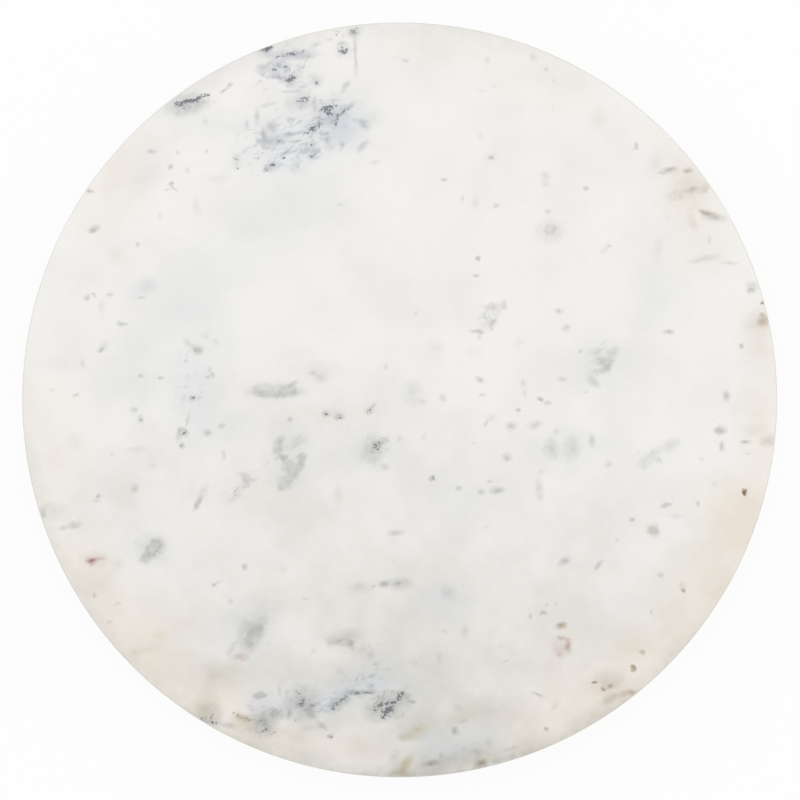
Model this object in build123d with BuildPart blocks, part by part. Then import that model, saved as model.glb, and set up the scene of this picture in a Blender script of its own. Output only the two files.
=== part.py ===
"""Lazy susan turntable: a round marble plate that spins on a V-groove ring bearing.

Millimetres, +Z up. The origin is on the table, under the middle of the plate.
The stone is screwed to the turning ring, the fixed ring stands on rubber feet, and
steel balls in a nylon cage run between the two rings.
"""

import os
from math import radians, sqrt, tan

from build123d import *

# Marble plate
plate_diameter = 406.0
plate_thickness = 16.0
upper_arris_radius = 1.2
lower_arris_chamfer = 0.8

# Ring bearing
ball_circle_diameter = 220.0
ball_diameter = 6.0
ball_count = 20
race_clearance = 0.05
race_relief_width = 0.8
ring_gap = 3.0
turning_ring_width = 14.0
fixed_ring_width = 14.0
ring_height = 10.0
ring_step = 1.2
ring_edge_chamfer = 0.8

# Ball cage
cage_side_clearance = 0.5
cage_height = 7.6
pocket_clearance = 0.15
cage_notch_width = 8.0
cage_notch_depth = 1.2

# Filling hole, its plug and the pin that locks it
filling_clearance = 0.2
plug_pin_diameter = 2.0
plug_pin_bite = 1.5
plug_slot_width = 1.2
plug_slot_depth = 1.0

# Screws and inserts that hold the turning ring to the stone
ring_screw_count = 6
ring_screw_diameter = 4.0
ring_screw_hole_diameter = 4.4
ring_screw_head_diameter = 7.6
ring_screw_head_recess = 0.3
ring_screw_head_angle = 90.0
ring_screw_bite = 7.0
hex_socket_sides = 6
hex_socket_across_flats = 2.5
hex_socket_depth = 1.5
insert_diameter = 7.0
insert_length = 9.0
insert_recess = 0.3
insert_groove_count = 2
insert_groove_width = 1.2
insert_groove_depth = 0.5
insert_hole_spare_depth = 1.0

# Rubber feet, their washers and screws
foot_count = 6
foot_height = 4.0
foot_top_diameter = 12.6
foot_base_diameter = 11.6
foot_edge_chamfer = 0.6
foot_recess_diameter = 7.6
foot_recess_depth = 2.4
foot_screw_diameter = 3.0
foot_screw_head_diameter = 5.4
foot_screw_head_height = 1.4
foot_screw_bite = 5.0
foot_screw_hole_spare_depth = 1.0
cross_slot_length = 3.0
cross_slot_width = 0.7
cross_slot_depth = 0.8
washer_diameter = 7.2
washer_thickness = 0.6

# Radial room between a pin, plug, insert or screw and its hole
fit_clearance = 0.05

# Radii that follow from the ball circle
ball_circle_radius = ball_circle_diameter / 2
ball_radius = ball_diameter / 2
race_radius = ball_radius + race_clearance
turning_ring_outer_radius = ball_circle_radius - ring_gap / 2
turning_ring_inner_radius = turning_ring_outer_radius - turning_ring_width
fixed_ring_inner_radius = ball_circle_radius + ring_gap / 2
fixed_ring_outer_radius = fixed_ring_inner_radius + fixed_ring_width

# Both grooves are 90 degree vees, cut square at the bottom by a narrow relief
groove_reach = race_radius * sqrt(2) - race_relief_width / 2
groove_depth = groove_reach - ring_gap / 2
groove_half_height = groove_depth + race_relief_width / 2
relief_half_height = race_relief_width / 2
turning_groove_radius = ball_circle_radius - groove_reach
fixed_groove_radius = ball_circle_radius + groove_reach

# Levels above the table
fixed_ring_bottom = foot_height
fixed_ring_top = fixed_ring_bottom + ring_height
turning_ring_bottom = fixed_ring_bottom + ring_step
turning_ring_top = turning_ring_bottom + ring_height
race_level = (fixed_ring_bottom + turning_ring_top) / 2
plate_underside = turning_ring_top

# The ring screws and the plug's pin run down the middle of the metal that each groove leaves,
# and the feet down the middle of the fixed ring's flat underside
ring_screw_circle_radius = (turning_ring_inner_radius + turning_groove_radius) / 2
plug_pin_circle_radius = (fixed_groove_radius + fixed_ring_outer_radius) / 2
foot_circle_radius = (fixed_ring_inner_radius + fixed_ring_outer_radius - ring_edge_chamfer) / 2
filling_angle = 180.0 / foot_count
filling_hole_radius = ball_radius + filling_clearance

# The countersunk head is a cone down to the shank
ring_screw_radius = ring_screw_diameter / 2
ring_screw_head_radius = ring_screw_head_diameter / 2
ring_screw_head_slope = tan(radians(ring_screw_head_angle / 2))
ring_screw_head_height = (ring_screw_head_radius - ring_screw_radius) / ring_screw_head_slope
ring_screw_head_level = turning_ring_bottom + ring_screw_head_recess
ring_screw_tip = plate_underside + ring_screw_bite

insert_radius = insert_diameter / 2
insert_bore_radius = ring_screw_radius + fit_clearance
insert_groove_spacing = insert_length / (insert_groove_count + 1)

washer_bottom = foot_recess_depth - washer_thickness
foot_screw_head_bottom = washer_bottom - foot_screw_head_height
foot_screw_tip = fixed_ring_bottom + foot_screw_bite

UP = (Align.CENTER, Align.CENTER, Align.MIN)
DOWN = (Align.CENTER, Align.CENTER, Align.MAX)

os.makedirs("parts", exist_ok=True)


def save(piece, name):
    """Labels a finished piece and writes it to its own STEP file."""
    piece.label = name
    export_step(piece, f"parts/{name}.step")


# Marble plate, with a blind hole in its underside for each insert
with BuildPart(Plane.XY.offset(plate_underside)) as marble_top:
    Cylinder(plate_diameter / 2, plate_thickness, align=UP)
    rims = marble_top.edges().filter_by(GeomType.CIRCLE).sort_by(Axis.Z)
    fillet(rims[-1], upper_arris_radius)
    chamfer(rims[0], lower_arris_chamfer)
    with PolarLocations(ring_screw_circle_radius, ring_screw_count):
        Cylinder(
            insert_radius + fit_clearance,
            insert_recess + insert_length + insert_hole_spare_depth,
            align=UP,
            mode=Mode.SUBTRACT,
        )
save(marble_top.part, "marble_top")

# Brass inserts: a sleeve with grooves round it that the setting resin keys into
with BuildPart() as insert:
    with BuildSketch(Plane.XZ) as sleeve_section:
        with Locations((insert_bore_radius, 0)):
            Rectangle(insert_radius - insert_bore_radius, insert_length, align=(Align.MIN, Align.MIN))
        for groove in range(1, insert_groove_count + 1):
            with Locations((insert_radius, groove * insert_groove_spacing)):
                Rectangle(2 * insert_groove_depth, insert_groove_width, mode=Mode.SUBTRACT)
    revolve(axis=Axis.Z)
with BuildPart(Plane.XY.offset(plate_underside + insert_recess)) as threaded_inserts:
    with PolarLocations(ring_screw_circle_radius, ring_screw_count):
        add(insert.part)
save(threaded_inserts.part, "threaded_inserts")

# Turning ring: the vee runs round its outside, and it hangs on countersunk screws
with BuildPart() as turning_race_ring:
    with BuildSketch(Plane.XZ) as turning_section:
        with BuildLine():
            Polyline(
                (turning_ring_inner_radius, turning_ring_bottom),
                (turning_ring_outer_radius, turning_ring_bottom),
                (turning_ring_outer_radius, race_level - groove_half_height),
                (turning_groove_radius, race_level - relief_half_height),
                (turning_groove_radius, race_level + relief_half_height),
                (turning_ring_outer_radius, race_level + groove_half_height),
                (turning_ring_outer_radius, turning_ring_top),
                (turning_ring_inner_radius, turning_ring_top),
                close=True,
            )
        make_face()
    revolve(axis=Axis.Z)
    inner_corners = turning_race_ring.edges().filter_by(GeomType.CIRCLE)
    chamfer(inner_corners.group_by(SortBy.RADIUS)[0], ring_edge_chamfer)
    with Locations(Plane((0, 0, turning_ring_bottom), z_dir=(0, 0, -1))):
        with PolarLocations(ring_screw_circle_radius, ring_screw_count):
            CounterSinkHole(
                radius=ring_screw_hole_diameter / 2,
                counter_sink_radius=ring_screw_head_radius + ring_screw_head_recess * ring_screw_head_slope,
                depth=ring_height,
                counter_sink_angle=ring_screw_head_angle,
            )
save(turning_race_ring.part, "turning_race_ring")

# Countersunk screws, put in from below, with a hexagon socket
with BuildPart(Plane.XY.offset(ring_screw_head_level)) as ring_screws:
    with PolarLocations(ring_screw_circle_radius, ring_screw_count):
        Cone(ring_screw_head_radius, ring_screw_radius, ring_screw_head_height, align=UP)
        Cylinder(ring_screw_radius, ring_screw_tip - ring_screw_head_level, align=UP)
    with BuildSketch(Plane.XY.offset(ring_screw_head_level)) as sockets:
        with PolarLocations(ring_screw_circle_radius, ring_screw_count):
            RegularPolygon(hex_socket_across_flats / 2, hex_socket_sides, major_radius=False)
    extrude(amount=hex_socket_depth, mode=Mode.SUBTRACT)
save(ring_screws.part, "ring_screws")

# Steel balls, evenly round the ball circle
with BuildPart(Plane.XY.offset(race_level)) as bearing_balls:
    with PolarLocations(ball_circle_radius, ball_count):
        Sphere(ball_radius)
save(bearing_balls.part, "bearing_balls")

# Nylon cage: a band with a round pocket for each ball and a notch between pockets
cage_outer_radius = fixed_ring_inner_radius - cage_side_clearance
cage_inner_radius = turning_ring_outer_radius + cage_side_clearance
cage_cut_length = 2 * ring_gap
half_ball_pitch = 180 / ball_count
with BuildPart(Plane.XY.offset(race_level)) as ball_cage:
    Cylinder(cage_outer_radius, cage_height)
    Cylinder(cage_inner_radius, cage_height, mode=Mode.SUBTRACT)
    with PolarLocations(ball_circle_radius, ball_count):
        Cylinder(
            ball_radius + pocket_clearance, cage_cut_length, rotation=(0, 90, 0), mode=Mode.SUBTRACT
        )
    with PolarLocations(ball_circle_radius, ball_count, start_angle=half_ball_pitch):
        with Locations((0, 0, cage_height / 2)):
            Box(cage_cut_length, cage_notch_width, cage_notch_depth, align=DOWN, mode=Mode.SUBTRACT)
save(ball_cage.part, "ball_cage")

# Fixed ring: the vee runs round its inside, and it stands on the feet
with BuildPart() as fixed_ring_blank:
    with BuildSketch(Plane.XZ) as fixed_section:
        with BuildLine():
            Polyline(
                (fixed_ring_outer_radius, fixed_ring_bottom),
                (fixed_ring_inner_radius, fixed_ring_bottom),
                (fixed_ring_inner_radius, race_level - groove_half_height),
                (fixed_groove_radius, race_level - relief_half_height),
                (fixed_groove_radius, race_level + relief_half_height),
                (fixed_ring_inner_radius, race_level + groove_half_height),
                (fixed_ring_inner_radius, fixed_ring_top),
                (fixed_ring_outer_radius, fixed_ring_top),
                close=True,
            )
        make_face()
    revolve(axis=Axis.Z)
    outer_corners = fixed_ring_blank.edges().filter_by(GeomType.CIRCLE)
    chamfer(outer_corners.group_by(SortBy.RADIUS)[-1], ring_edge_chamfer)

# The filling hole runs in to the groove along this plane, with the plug's pin across it
filling_plane = Plane.XY.offset(race_level).rotated((0, 0, filling_angle))
pin_spot = Plane.XY.rotated((0, 0, filling_angle)).location * Pos(plug_pin_circle_radius, 0, 0)
pin_top = race_level + plug_pin_bite

with BuildPart() as fixed_race_ring:
    add(fixed_ring_blank.part)
    with Locations(filling_plane.location * Pos(ball_circle_radius, 0, 0)):
        Cylinder(
            filling_hole_radius,
            fixed_ring_outer_radius,
            rotation=(0, 90, 0),
            align=UP,
            mode=Mode.SUBTRACT,
        )
    with Locations(pin_spot * Pos(0, 0, fixed_ring_bottom)):
        Cylinder(
            plug_pin_diameter / 2 + fit_clearance,
            pin_top - fixed_ring_bottom,
            align=UP,
            mode=Mode.SUBTRACT,
        )
    with Locations((0, 0, fixed_ring_bottom)):
        with PolarLocations(foot_circle_radius, foot_count):
            Cylinder(
                foot_screw_diameter / 2 + fit_clearance,
                foot_screw_bite + foot_screw_hole_spare_depth,
                align=UP,
                mode=Mode.SUBTRACT,
            )
save(fixed_race_ring.part, "fixed_race_ring")

# Filling plug: its inner end carries the vee on, so the race has no gap
with BuildPart() as filling_plug:
    with Locations(filling_plane.location * Pos(ball_circle_radius, 0, 0)):
        Cylinder(
            filling_hole_radius - fit_clearance, fixed_ring_outer_radius, rotation=(0, 90, 0), align=UP
        )
    add(fixed_ring_blank.part, mode=Mode.INTERSECT)
    with Locations(filling_plane.location * Pos(fixed_ring_outer_radius, 0, 0)):
        Box(2 * plug_slot_depth, 2 * filling_hole_radius, plug_slot_width, mode=Mode.SUBTRACT)
    with Locations(pin_spot * Pos(0, 0, fixed_ring_bottom)):
        Cylinder(
            plug_pin_diameter / 2 + fit_clearance,
            pin_top - fixed_ring_bottom,
            align=UP,
            mode=Mode.SUBTRACT,
        )
save(filling_plug.part, "filling_plug")

# Pin driven up from the ring's underside, across the plug
with BuildPart() as plug_pin:
    with Locations(pin_spot * Pos(0, 0, fixed_ring_bottom)):
        Cylinder(plug_pin_diameter / 2, pin_top - fixed_ring_bottom, align=UP)
save(plug_pin.part, "plug_pin")

# Rubber feet, each recessed from below for its washer and screw head
for number, spot in enumerate(PolarLocations(foot_circle_radius, foot_count), start=1):
    with BuildPart(Plane(spot)) as foot:
        Cone(foot_base_diameter / 2, foot_top_diameter / 2, foot_height, align=UP)
        chamfer(foot.edges().sort_by(Axis.Z)[0], foot_edge_chamfer)
        Cylinder(foot_recess_diameter / 2, foot_recess_depth, align=UP, mode=Mode.SUBTRACT)
        Cylinder(foot_screw_diameter / 2 + fit_clearance, foot_height, align=UP, mode=Mode.SUBTRACT)
    save(foot.part, f"foot_{number}")

# Steel washers, at the top of each foot's recess
with BuildPart(Plane.XY.offset(washer_bottom)) as foot_washers:
    with PolarLocations(foot_circle_radius, foot_count):
        Cylinder(washer_diameter / 2, washer_thickness, align=UP)
        Cylinder(foot_screw_diameter / 2 + fit_clearance, washer_thickness, align=UP, mode=Mode.SUBTRACT)
save(foot_washers.part, "foot_washers")

# Pan-head screws, from each foot's recess up into the fixed ring
with BuildPart(Plane.XY.offset(foot_screw_head_bottom)) as foot_screws:
    with PolarLocations(foot_circle_radius, foot_count):
        Cylinder(foot_screw_head_diameter / 2, foot_screw_head_height, align=UP)
        Cylinder(foot_screw_diameter / 2, foot_screw_tip - foot_screw_head_bottom, align=UP)
        Box(cross_slot_length, cross_slot_width, cross_slot_depth, align=UP, mode=Mode.SUBTRACT)
        Box(cross_slot_width, cross_slot_length, cross_slot_depth, align=UP, mode=Mode.SUBTRACT)
save(foot_screws.part, "foot_screws")
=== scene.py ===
"""Looks of a lazy susan turntable: a round marble plate on a ball-bearing ring with rubber feet."""

import logging
import math
from dataclasses import dataclass, field
from enum import Enum

import bmesh
import bpy
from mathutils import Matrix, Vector, noise


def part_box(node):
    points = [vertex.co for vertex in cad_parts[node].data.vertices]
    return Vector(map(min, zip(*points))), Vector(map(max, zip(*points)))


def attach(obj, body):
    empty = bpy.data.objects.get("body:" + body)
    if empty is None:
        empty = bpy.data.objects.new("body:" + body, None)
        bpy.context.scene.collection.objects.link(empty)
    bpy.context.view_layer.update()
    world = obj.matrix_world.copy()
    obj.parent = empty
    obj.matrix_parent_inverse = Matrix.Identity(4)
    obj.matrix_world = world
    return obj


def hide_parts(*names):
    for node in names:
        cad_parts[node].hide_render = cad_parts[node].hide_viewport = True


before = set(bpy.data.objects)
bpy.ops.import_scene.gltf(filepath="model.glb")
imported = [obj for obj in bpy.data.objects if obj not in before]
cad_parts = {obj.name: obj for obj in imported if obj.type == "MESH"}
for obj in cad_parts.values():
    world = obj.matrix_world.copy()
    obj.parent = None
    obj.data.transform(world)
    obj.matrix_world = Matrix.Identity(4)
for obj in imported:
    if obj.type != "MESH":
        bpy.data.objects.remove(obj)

log = logging.getLogger("turntable")

MM = 0.001
WHITE = "#FFFFFF"

# Values of a noise texture lie mostly between these
NOISE_LOW = 0.3
NOISE_HIGH = 0.7

# The photograph looks straight down on the plate, so one scale serves all of it
PHOTO_SIDE = 800
PHOTO_CENTRE_X = 399.7
PHOTO_CENTRE_Y = 399.9
PHOTO_PLATE_RADIUS = 377.3

# Marks along the rim lie this many pixels inside it and this many degrees apart,
# and are long enough to run into each other
RIM_INSET = 3.0
RIM_STEP = 15.0
RIM_LENGTH = 64.0

Node = bpy.types.Node
Tree = bpy.types.NodeTree
Socket = bpy.types.NodeSocket


def linear(colour: str) -> tuple[float, float, float, float]:
    """Turn a colour as written into the linear light that the shaders work in.

    Args:
        colour: An sRGB hex value such as "#E8E6E0".

    Returns:
        Linear red, green, blue and an alpha of one.
    """
    parts = [int(colour[i:i + 2], 16) / 255 for i in (1, 3, 5)]
    light = [p / 12.92 if p <= 0.04045 else ((p + 0.055) / 1.055) ** 2.4 for p in parts]
    return light[0], light[1], light[2], 1.0


def per_metre(size_mm: float) -> float:
    """Texture scale whose features come out about this many millimetres wide."""
    return 1 / (size_mm * MM)


def add_node(tree: Tree, kind: str, settings: dict | None = None, inputs: dict | None = None) -> Node:
    """Add a shader node, set it up and link what feeds it.

    Args:
        tree: The node tree that the node joins.
        kind: The node's type, without its "ShaderNode" prefix.
        settings: Properties of the node by name.
        inputs: Sockets by name or index. A socket as the value is linked, anything else is set.

    Returns:
        The new node.
    """
    node = tree.nodes.new("ShaderNode" + kind)
    for name, value in (settings or {}).items():
        setattr(node, name, value)
    for name, value in (inputs or {}).items():
        if isinstance(value, Socket):
            tree.links.new(value, node.inputs[name])
        else:
            node.inputs[name].default_value = value
    return node


def seen_rays(tree: Tree) -> Socket:
    """Tell rays that the eye sees directly, in a reflection or through glass from those that only light.

    Args:
        tree: The node tree that asks.

    Returns:
        One for a seen ray and zero for any other.
    """
    path = add_node(tree, "LightPath")
    seen = path.outputs["Is Camera Ray"]
    for ray in ("Is Glossy Ray", "Is Transmission Ray"):
        seen = add_node(tree, "Math", {"operation": "MAXIMUM"}, {0: seen, 1: path.outputs[ray]}).outputs[0]
    return seen


def mesh_object(name: str, mesh: bpy.types.Mesh) -> bpy.types.Object:
    """Put a mesh into the scene as an object at the frame's origin.

    Args:
        name: The object's name.
        mesh: Its mesh.

    Returns:
        The new object.
    """
    made = bpy.data.objects.new(name, mesh)
    bpy.context.scene.collection.objects.link(made)
    return made


class Mineral(Enum):
    """What an inclusion in the stone is, with the colour it shows; some marks use these colours for painted
    shade.
    """

    STAIN = "#E6D4BD"
    # Grey of the stone in a few patches, but mostly painted shade that darkens the plate towards the bottom
    SHADE = "#CBC9C2"
    OLIVE = "#BDB592"
    HAZE = "#D3D9E0"
    WISP = "#969BA4"
    SLATE = "#888EA0"
    FLECK = "#8E908C"
    ROSE = "#99685A"
    OCHRE = "#76571F"
    RUST = "#9C7418"
    GRAIN = "#434A5C"


@dataclass(frozen=True)
class Mark:
    """One inclusion or patch of painted shade, as an ellipse on the honed face, in the photograph's pixels.

    Attributes:
        x: Pixels from the photograph's left edge.
        y: Pixels from its top edge.
        length: Half the axis that lies level before the turn.
        width: Half the axis across it.
        turn: Degrees anticlockwise.
        depth: How strongly it shows. One is full in the middle, and more widens the full middle.
    """

    x: float
    y: float
    length: float
    width: float
    turn: float = 0.0
    depth: float = 1.0


@dataclass(frozen=True)
class Cluster:
    """Inclusions of one mineral that lie together in the stone, or patches of painted shade drawn in a
    mineral's colour.
    """

    place: str
    mineral: Mineral
    marks: tuple[Mark, ...]


def rim_arc(start: float, end: float, width: float, depth: float) -> tuple[Mark, ...]:
    """Lay even marks end to end along a stretch of the rim.

    Args:
        start: Direction of the first mark from the plate's middle, in degrees anticlockwise from the right.
        end: Direction of the last mark.
        width: Half the band's width, in the photograph's pixels.
        depth: How strongly the band shows.

    Returns:
        The marks.
    """
    out = PHOTO_PLATE_RADIUS - RIM_INSET
    laid = []
    for step in range(round((end - start) / RIM_STEP) + 1):
        angle = start + step * RIM_STEP
        x = PHOTO_CENTRE_X + out * math.cos(math.radians(angle))
        y = PHOTO_CENTRE_Y - out * math.sin(math.radians(angle))
        laid.append(Mark(x, y, RIM_LENGTH, width, angle + 90, depth))
    return tuple(laid)


# Read off the photograph, with strengths set by comparing renders with it, region by region
CLUSTERS = (
    Cluster("upper left rim streak, dark cores", Mineral.GRAIN, (
        Mark(181, 104, 6, 2.4, 15, 1.3), Mark(191, 101, 6, 2.6, 10, 1.5), Mark(200, 98, 5, 2.2, 22, 1.2),
        Mark(207, 96, 3, 1.6, 10, 0.9), Mark(180, 113, 3.5, 1.6, 22, 0.8), Mark(186, 109, 3.5, 1.8, 25, 0.7),
        Mark(192, 107, 3, 1.5, 20, 0.6), Mark(266, 49, 5.5, 2.8, 18, 1.6), Mark(237, 158, 3.2, 2.2, 0, 0.8),
        Mark(238, 168, 2.2, 1.4, 0, 0.85), Mark(249, 164, 1.4, 1.2, 0, 0.6),
    )),
    Cluster("upper left rim streak, grey edges, and flecks below it", Mineral.FLECK, (
        Mark(188, 106, 19, 9, 13, 0.5), Mark(201, 104, 6, 4, 10, 0.35), Mark(230, 85, 3, 1.8, 30, 0.5),
        Mark(226, 90, 4, 1.6, 40, 0.55), Mark(222, 93, 2.5, 1.4, 20, 0.4), Mark(152, 152, 4.5, 1.8, -8, 0.6),
        Mark(171, 167, 3, 2.2, 10, 0.55), Mark(172, 184, 2.4, 2, 0, 0.6), Mark(174, 189, 5, 1.4, -38, 0.5),
        Mark(167, 190, 3, 1.3, 12, 0.45), Mark(178, 153, 1.8, 1.6, 0, 0.5), Mark(207, 152, 2, 1.6, 0, 0.4),
        Mark(188, 171, 2.4, 3.2, 0, 0.25), Mark(206, 122, 3, 4.5, 0, 0.2), Mark(237, 162, 4.5, 7, 10, 0.3),
        Mark(138, 245, 2, 2.6, 0, 0.6), Mark(160, 216, 2, 5, 0, 0.2), Mark(95, 229, 5.5, 3, 25, 0.65),
        Mark(217, 179, 14, 5, 0, 0.12), Mark(197, 208, 4, 9, 15, 0.14),
    )),
    Cluster("blue-grey cluster, dark cores", Mineral.GRAIN, (
        Mark(323, 110, 4, 2.4, 20, 1), Mark(328, 110, 4, 3.8, 0, 1.3), Mark(333, 108, 3.4, 2.4, 30, 0.95),
        Mark(330, 115, 3.2, 2.2, 0, 0.95), Mark(321, 102, 2.2, 2.4, 0, 0.55), Mark(333, 102, 2, 3, 0, 0.55),
        Mark(338, 106, 2.4, 1.6, 0, 0.5), Mark(321, 122, 4.5, 2.2, 40, 0.7), Mark(316, 127, 4.5, 2.4, 22, 1),
        Mark(312, 130, 3.4, 2.4, 10, 1), Mark(306, 134, 3.4, 2, 30, 0.65), Mark(346, 110, 4.5, 1.8, 32, 0.7),
        Mark(342, 113, 4, 2.2, 40, 0.8), Mark(338, 117, 2.4, 3, 0, 0.6), Mark(336, 122, 2, 3.2, 0, 0.7),
        Mark(335, 127, 2, 2.6, 0, 0.5), Mark(308, 97, 2.2, 3, 0, 0.75), Mark(304, 100, 3.4, 2.2, 0, 0.8),
        Mark(296, 101, 4, 1.6, 0, 0.55), Mark(303, 108, 2.4, 1.6, 0, 0.5), Mark(309, 117, 2, 3, 0, 0.5),
        Mark(280, 141, 3.4, 2.2, 20, 0.85), Mark(291, 78, 3.6, 3, 30, 1), Mark(288, 81, 2.4, 2.2, 0, 0.9),
        Mark(295, 78, 2.2, 2.2, 0, 0.85), Mark(291, 72, 2, 1.8, 0, 0.5), Mark(343, 51, 4.4, 3.4, -20, 1),
        Mark(345, 53, 3, 2.2, 0, 0.9), Mark(291, 54, 3.8, 2.4, 0, 1.3), Mark(298, 54, 3, 2, 0, 0.7),
        Mark(304, 53, 2.6, 2.4, 0, 0.7), Mark(284, 56, 4.5, 1.6, 0, 0.5), Mark(277, 57, 2.4, 2, 0, 0.6),
        Mark(278, 66, 3.4, 2, 0, 1.1), Mark(284, 67, 3, 1.6, 0, 1.1), Mark(274, 70, 3, 2, 0, 1),
        Mark(354, 32, 2.8, 2.6, 0, 0.8), Mark(358, 29, 2.2, 1.6, 40, 0.75), Mark(337, 36, 1.6, 1.5, 0, 0.5),
        Mark(316, 154, 2.6, 2, 30, 0.8), Mark(310, 157, 2.8, 1.7, 15, 0.9), Mark(312, 145, 1.4, 3.4, 0, 0.5),
        Mark(309, 151, 2, 1.3, 0, 0.5), Mark(284, 158, 2.2, 1.7, 30, 0.8), Mark(261, 154, 2.2, 1.6, 0, 0.65),
        Mark(258, 158, 3.2, 1.3, 12, 0.65), Mark(317, 83, 3, 1.8, 0, 0.5), Mark(278, 166, 2, 1.5, 0, 0.55),
        Mark(273, 165, 3.2, 2, 30, 0.95), Mark(266, 170, 2.4, 1.6, 30, 0.8), Mark(300, 101, 3, 1.6, 0, 0.8),
    )),
    Cluster("blue-grey cluster, grey body", Mineral.SLATE, (
        Mark(266, 49, 6, 3, 8, 0.72), Mark(328, 109, 14, 11, 20, 0.36), Mark(316, 126, 14, 7, 30, 0.45),
        Mark(340, 116, 12, 7, 38, 0.4), Mark(351, 106, 6.5, 2.8, 35, 0.42), Mark(338, 134, 16, 10, 10, 0.14),
        Mark(365, 125, 5.5, 4.6, -35, 0.52), Mark(360, 121, 5.5, 2.3, -10, 0.31),
        Mark(371, 118, 10, 9, 0, 0.1), Mark(363, 146, 6.5, 3, 48, 0.52), Mark(342, 145, 2.6, 4.6, 0, 0.46),
        Mark(328, 139, 3.3, 5, 0, 0.39), Mark(330, 148, 6.5, 3.5, 0, 0.23), Mark(315, 105, 2.2, 6, 0, 0.59),
        Mark(301, 101, 13, 8, 10, 0.44), Mark(303, 87, 7.5, 2.3, 25, 0.31), Mark(291, 92, 9, 1.8, 0, 0.37),
        Mark(294, 134, 12, 1.8, 6, 0.47), Mark(281, 140, 10, 4.6, 20, 0.42),
        Mark(286, 153, 5.5, 1.6, 30, 0.52), Mark(297, 150, 5.5, 1.5, 30, 0.42),
        Mark(298, 157, 2.2, 3.9, 0, 0.32), Mark(313, 152, 6.5, 7, 0, 0.37),
        Mark(274, 166, 6.5, 4.6, 25, 0.52), Mark(298, 167, 2, 2.5, 0, 0.46),
        Mark(293, 170, 4.4, 3.5, 0, 0.23), Mark(272, 127, 5.5, 6, 0, 0.37), Mark(264, 134, 2.6, 6, 0, 0.65),
        Mark(265, 144, 4.4, 4.6, 30, 0.78), Mark(258, 142, 2.6, 2.8, 0, 0.65), Mark(269, 138, 9, 9, 0, 0.31),
        Mark(257, 117, 2.4, 7, 0, 0.46), Mark(247, 125, 2, 5, 0, 0.29), Mark(268, 105, 7.5, 1.9, 15, 0.37),
        Mark(245, 151, 6.5, 1.4, 40, 0.26), Mark(268, 168, 5, 3.5, 45, 0.65), Mark(291, 79, 10, 7, 0, 0.44),
        Mark(277, 78, 9, 1.9, 0, 0.44), Mark(316, 80, 6, 6, 0, 0.42), Mark(277, 68, 10, 7, 0, 0.52),
        Mark(262, 69, 6, 4.6, 0, 0.47), Mark(294, 55, 21, 5, 4, 0.52), Mark(309, 58, 5.5, 2.8, 0, 0.37),
        Mark(315, 46, 5.5, 2.5, 20, 0.31), Mark(299, 67, 5, 3.5, 0, 0.15), Mark(343, 51, 7.5, 7, 0, 0.37),
        Mark(343, 43, 3.7, 2.8, 0, 0.39), Mark(355, 33, 6.5, 6, 40, 0.42), Mark(355, 48, 1.8, 12, 0, 0.39),
        Mark(356, 66, 2.2, 10, 0, 0.41), Mark(345, 87, 7.5, 2.5, 55, 0.33), Mark(266, 54, 6.5, 3.5, 0, 0.31),
        Mark(376, 163, 4.4, 2.3, 0, 0.26), Mark(341, 205, 3.3, 1.4, 0, 0.26),
    )),
    Cluster("cool haze of the upper left half", Mineral.HAZE, (
        Mark(202, 122, 26, 16, 0, 0.25), Mark(255, 158, 34, 16, 15, 0.3), Mark(292, 160, 34, 16, 10, 0.3),
        Mark(325, 118, 50, 32, 15, 0.45), Mark(347, 130, 24, 16, 20, 0.42), Mark(275, 138, 36, 30, 0, 0.22),
        Mark(285, 70, 38, 22, 10, 0.28), Mark(232, 128, 26, 16, 0, 0.25), Mark(300, 196, 64, 36, 40, 0.16),
        Mark(150, 170, 44, 18, 42, 0.22), Mark(245, 240, 130, 48, 42, 0.16), Mark(190, 310, 84, 44, 55, 0.14),
        Mark(147, 290, 12, 9, 0, 0.35), Mark(192, 350, 38, 40, 30, 0.24), Mark(195, 405, 24, 42, 10, 0.32),
        Mark(226, 432, 26, 18, 0, 0.25), Mark(136, 392, 42, 56, 20, 0.2), Mark(188, 105, 26, 14, 12, 0.25),
    )),
    Cluster("scattered flecks, top and right", Mineral.FLECK, (
        Mark(712, 217, 11, 5, -18, 0.3), Mark(704, 212, 5, 2.4, -20, 0.25), Mark(670, 171, 8, 3, 4, 0.25),
        Mark(688, 171, 4.5, 3, 10, 0.3), Mark(694, 190, 9, 3.4, 8, 0.2), Mark(704, 259, 14, 4, 8, 0.12),
        Mark(728, 263, 8, 2.4, -6, 0.14), Mark(406, 61, 2.8, 1.5, 0, 0.45), Mark(487, 61, 2.6, 3.4, 0, 0.3),
        Mark(482, 91, 4, 1.3, 0, 0.22), Mark(494, 87, 3.2, 1.5, 0, 0.28), Mark(533, 58, 3.4, 4, 0, 0.35),
        Mark(546, 70, 1.7, 2.2, 0, 0.3), Mark(554, 81, 1.3, 2.2, 0, 0.22), Mark(553, 108, 1.4, 3.4, 0, 0.15),
        Mark(491, 158, 2.4, 2, 0, 0.65), Mark(491, 157, 6, 5, 0, 0.15), Mark(480, 137, 2.4, 3.4, 0, 0.15),
        Mark(444, 180, 3.2, 1.8, 0, 0.42), Mark(462, 198, 1.5, 3, 0, 0.38), Mark(496, 206, 3, 2.6, 0, 0.5),
        Mark(475, 203, 3.4, 6, 0, 0.15), Mark(478, 258, 2.2, 2.2, 0, 0.7), Mark(476, 276, 2.4, 2.2, 0, 0.6),
        Mark(546, 176, 4.5, 4.5, 0, 0.32), Mark(545, 184, 4, 3, 0, 0.22), Mark(586, 188, 2.8, 2.2, 0, 0.5),
        Mark(550, 229, 5.5, 4.5, 25, 0.55), Mark(549, 231, 12, 10, 0, 0.3), Mark(548, 212, 3.4, 2.4, 0, 0.35),
        Mark(609, 246, 2.2, 1.5, 0, 0.4), Mark(605, 250, 5, 3, 55, 0.22), Mark(636, 146, 1.5, 3.4, 0, 0.75),
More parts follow.
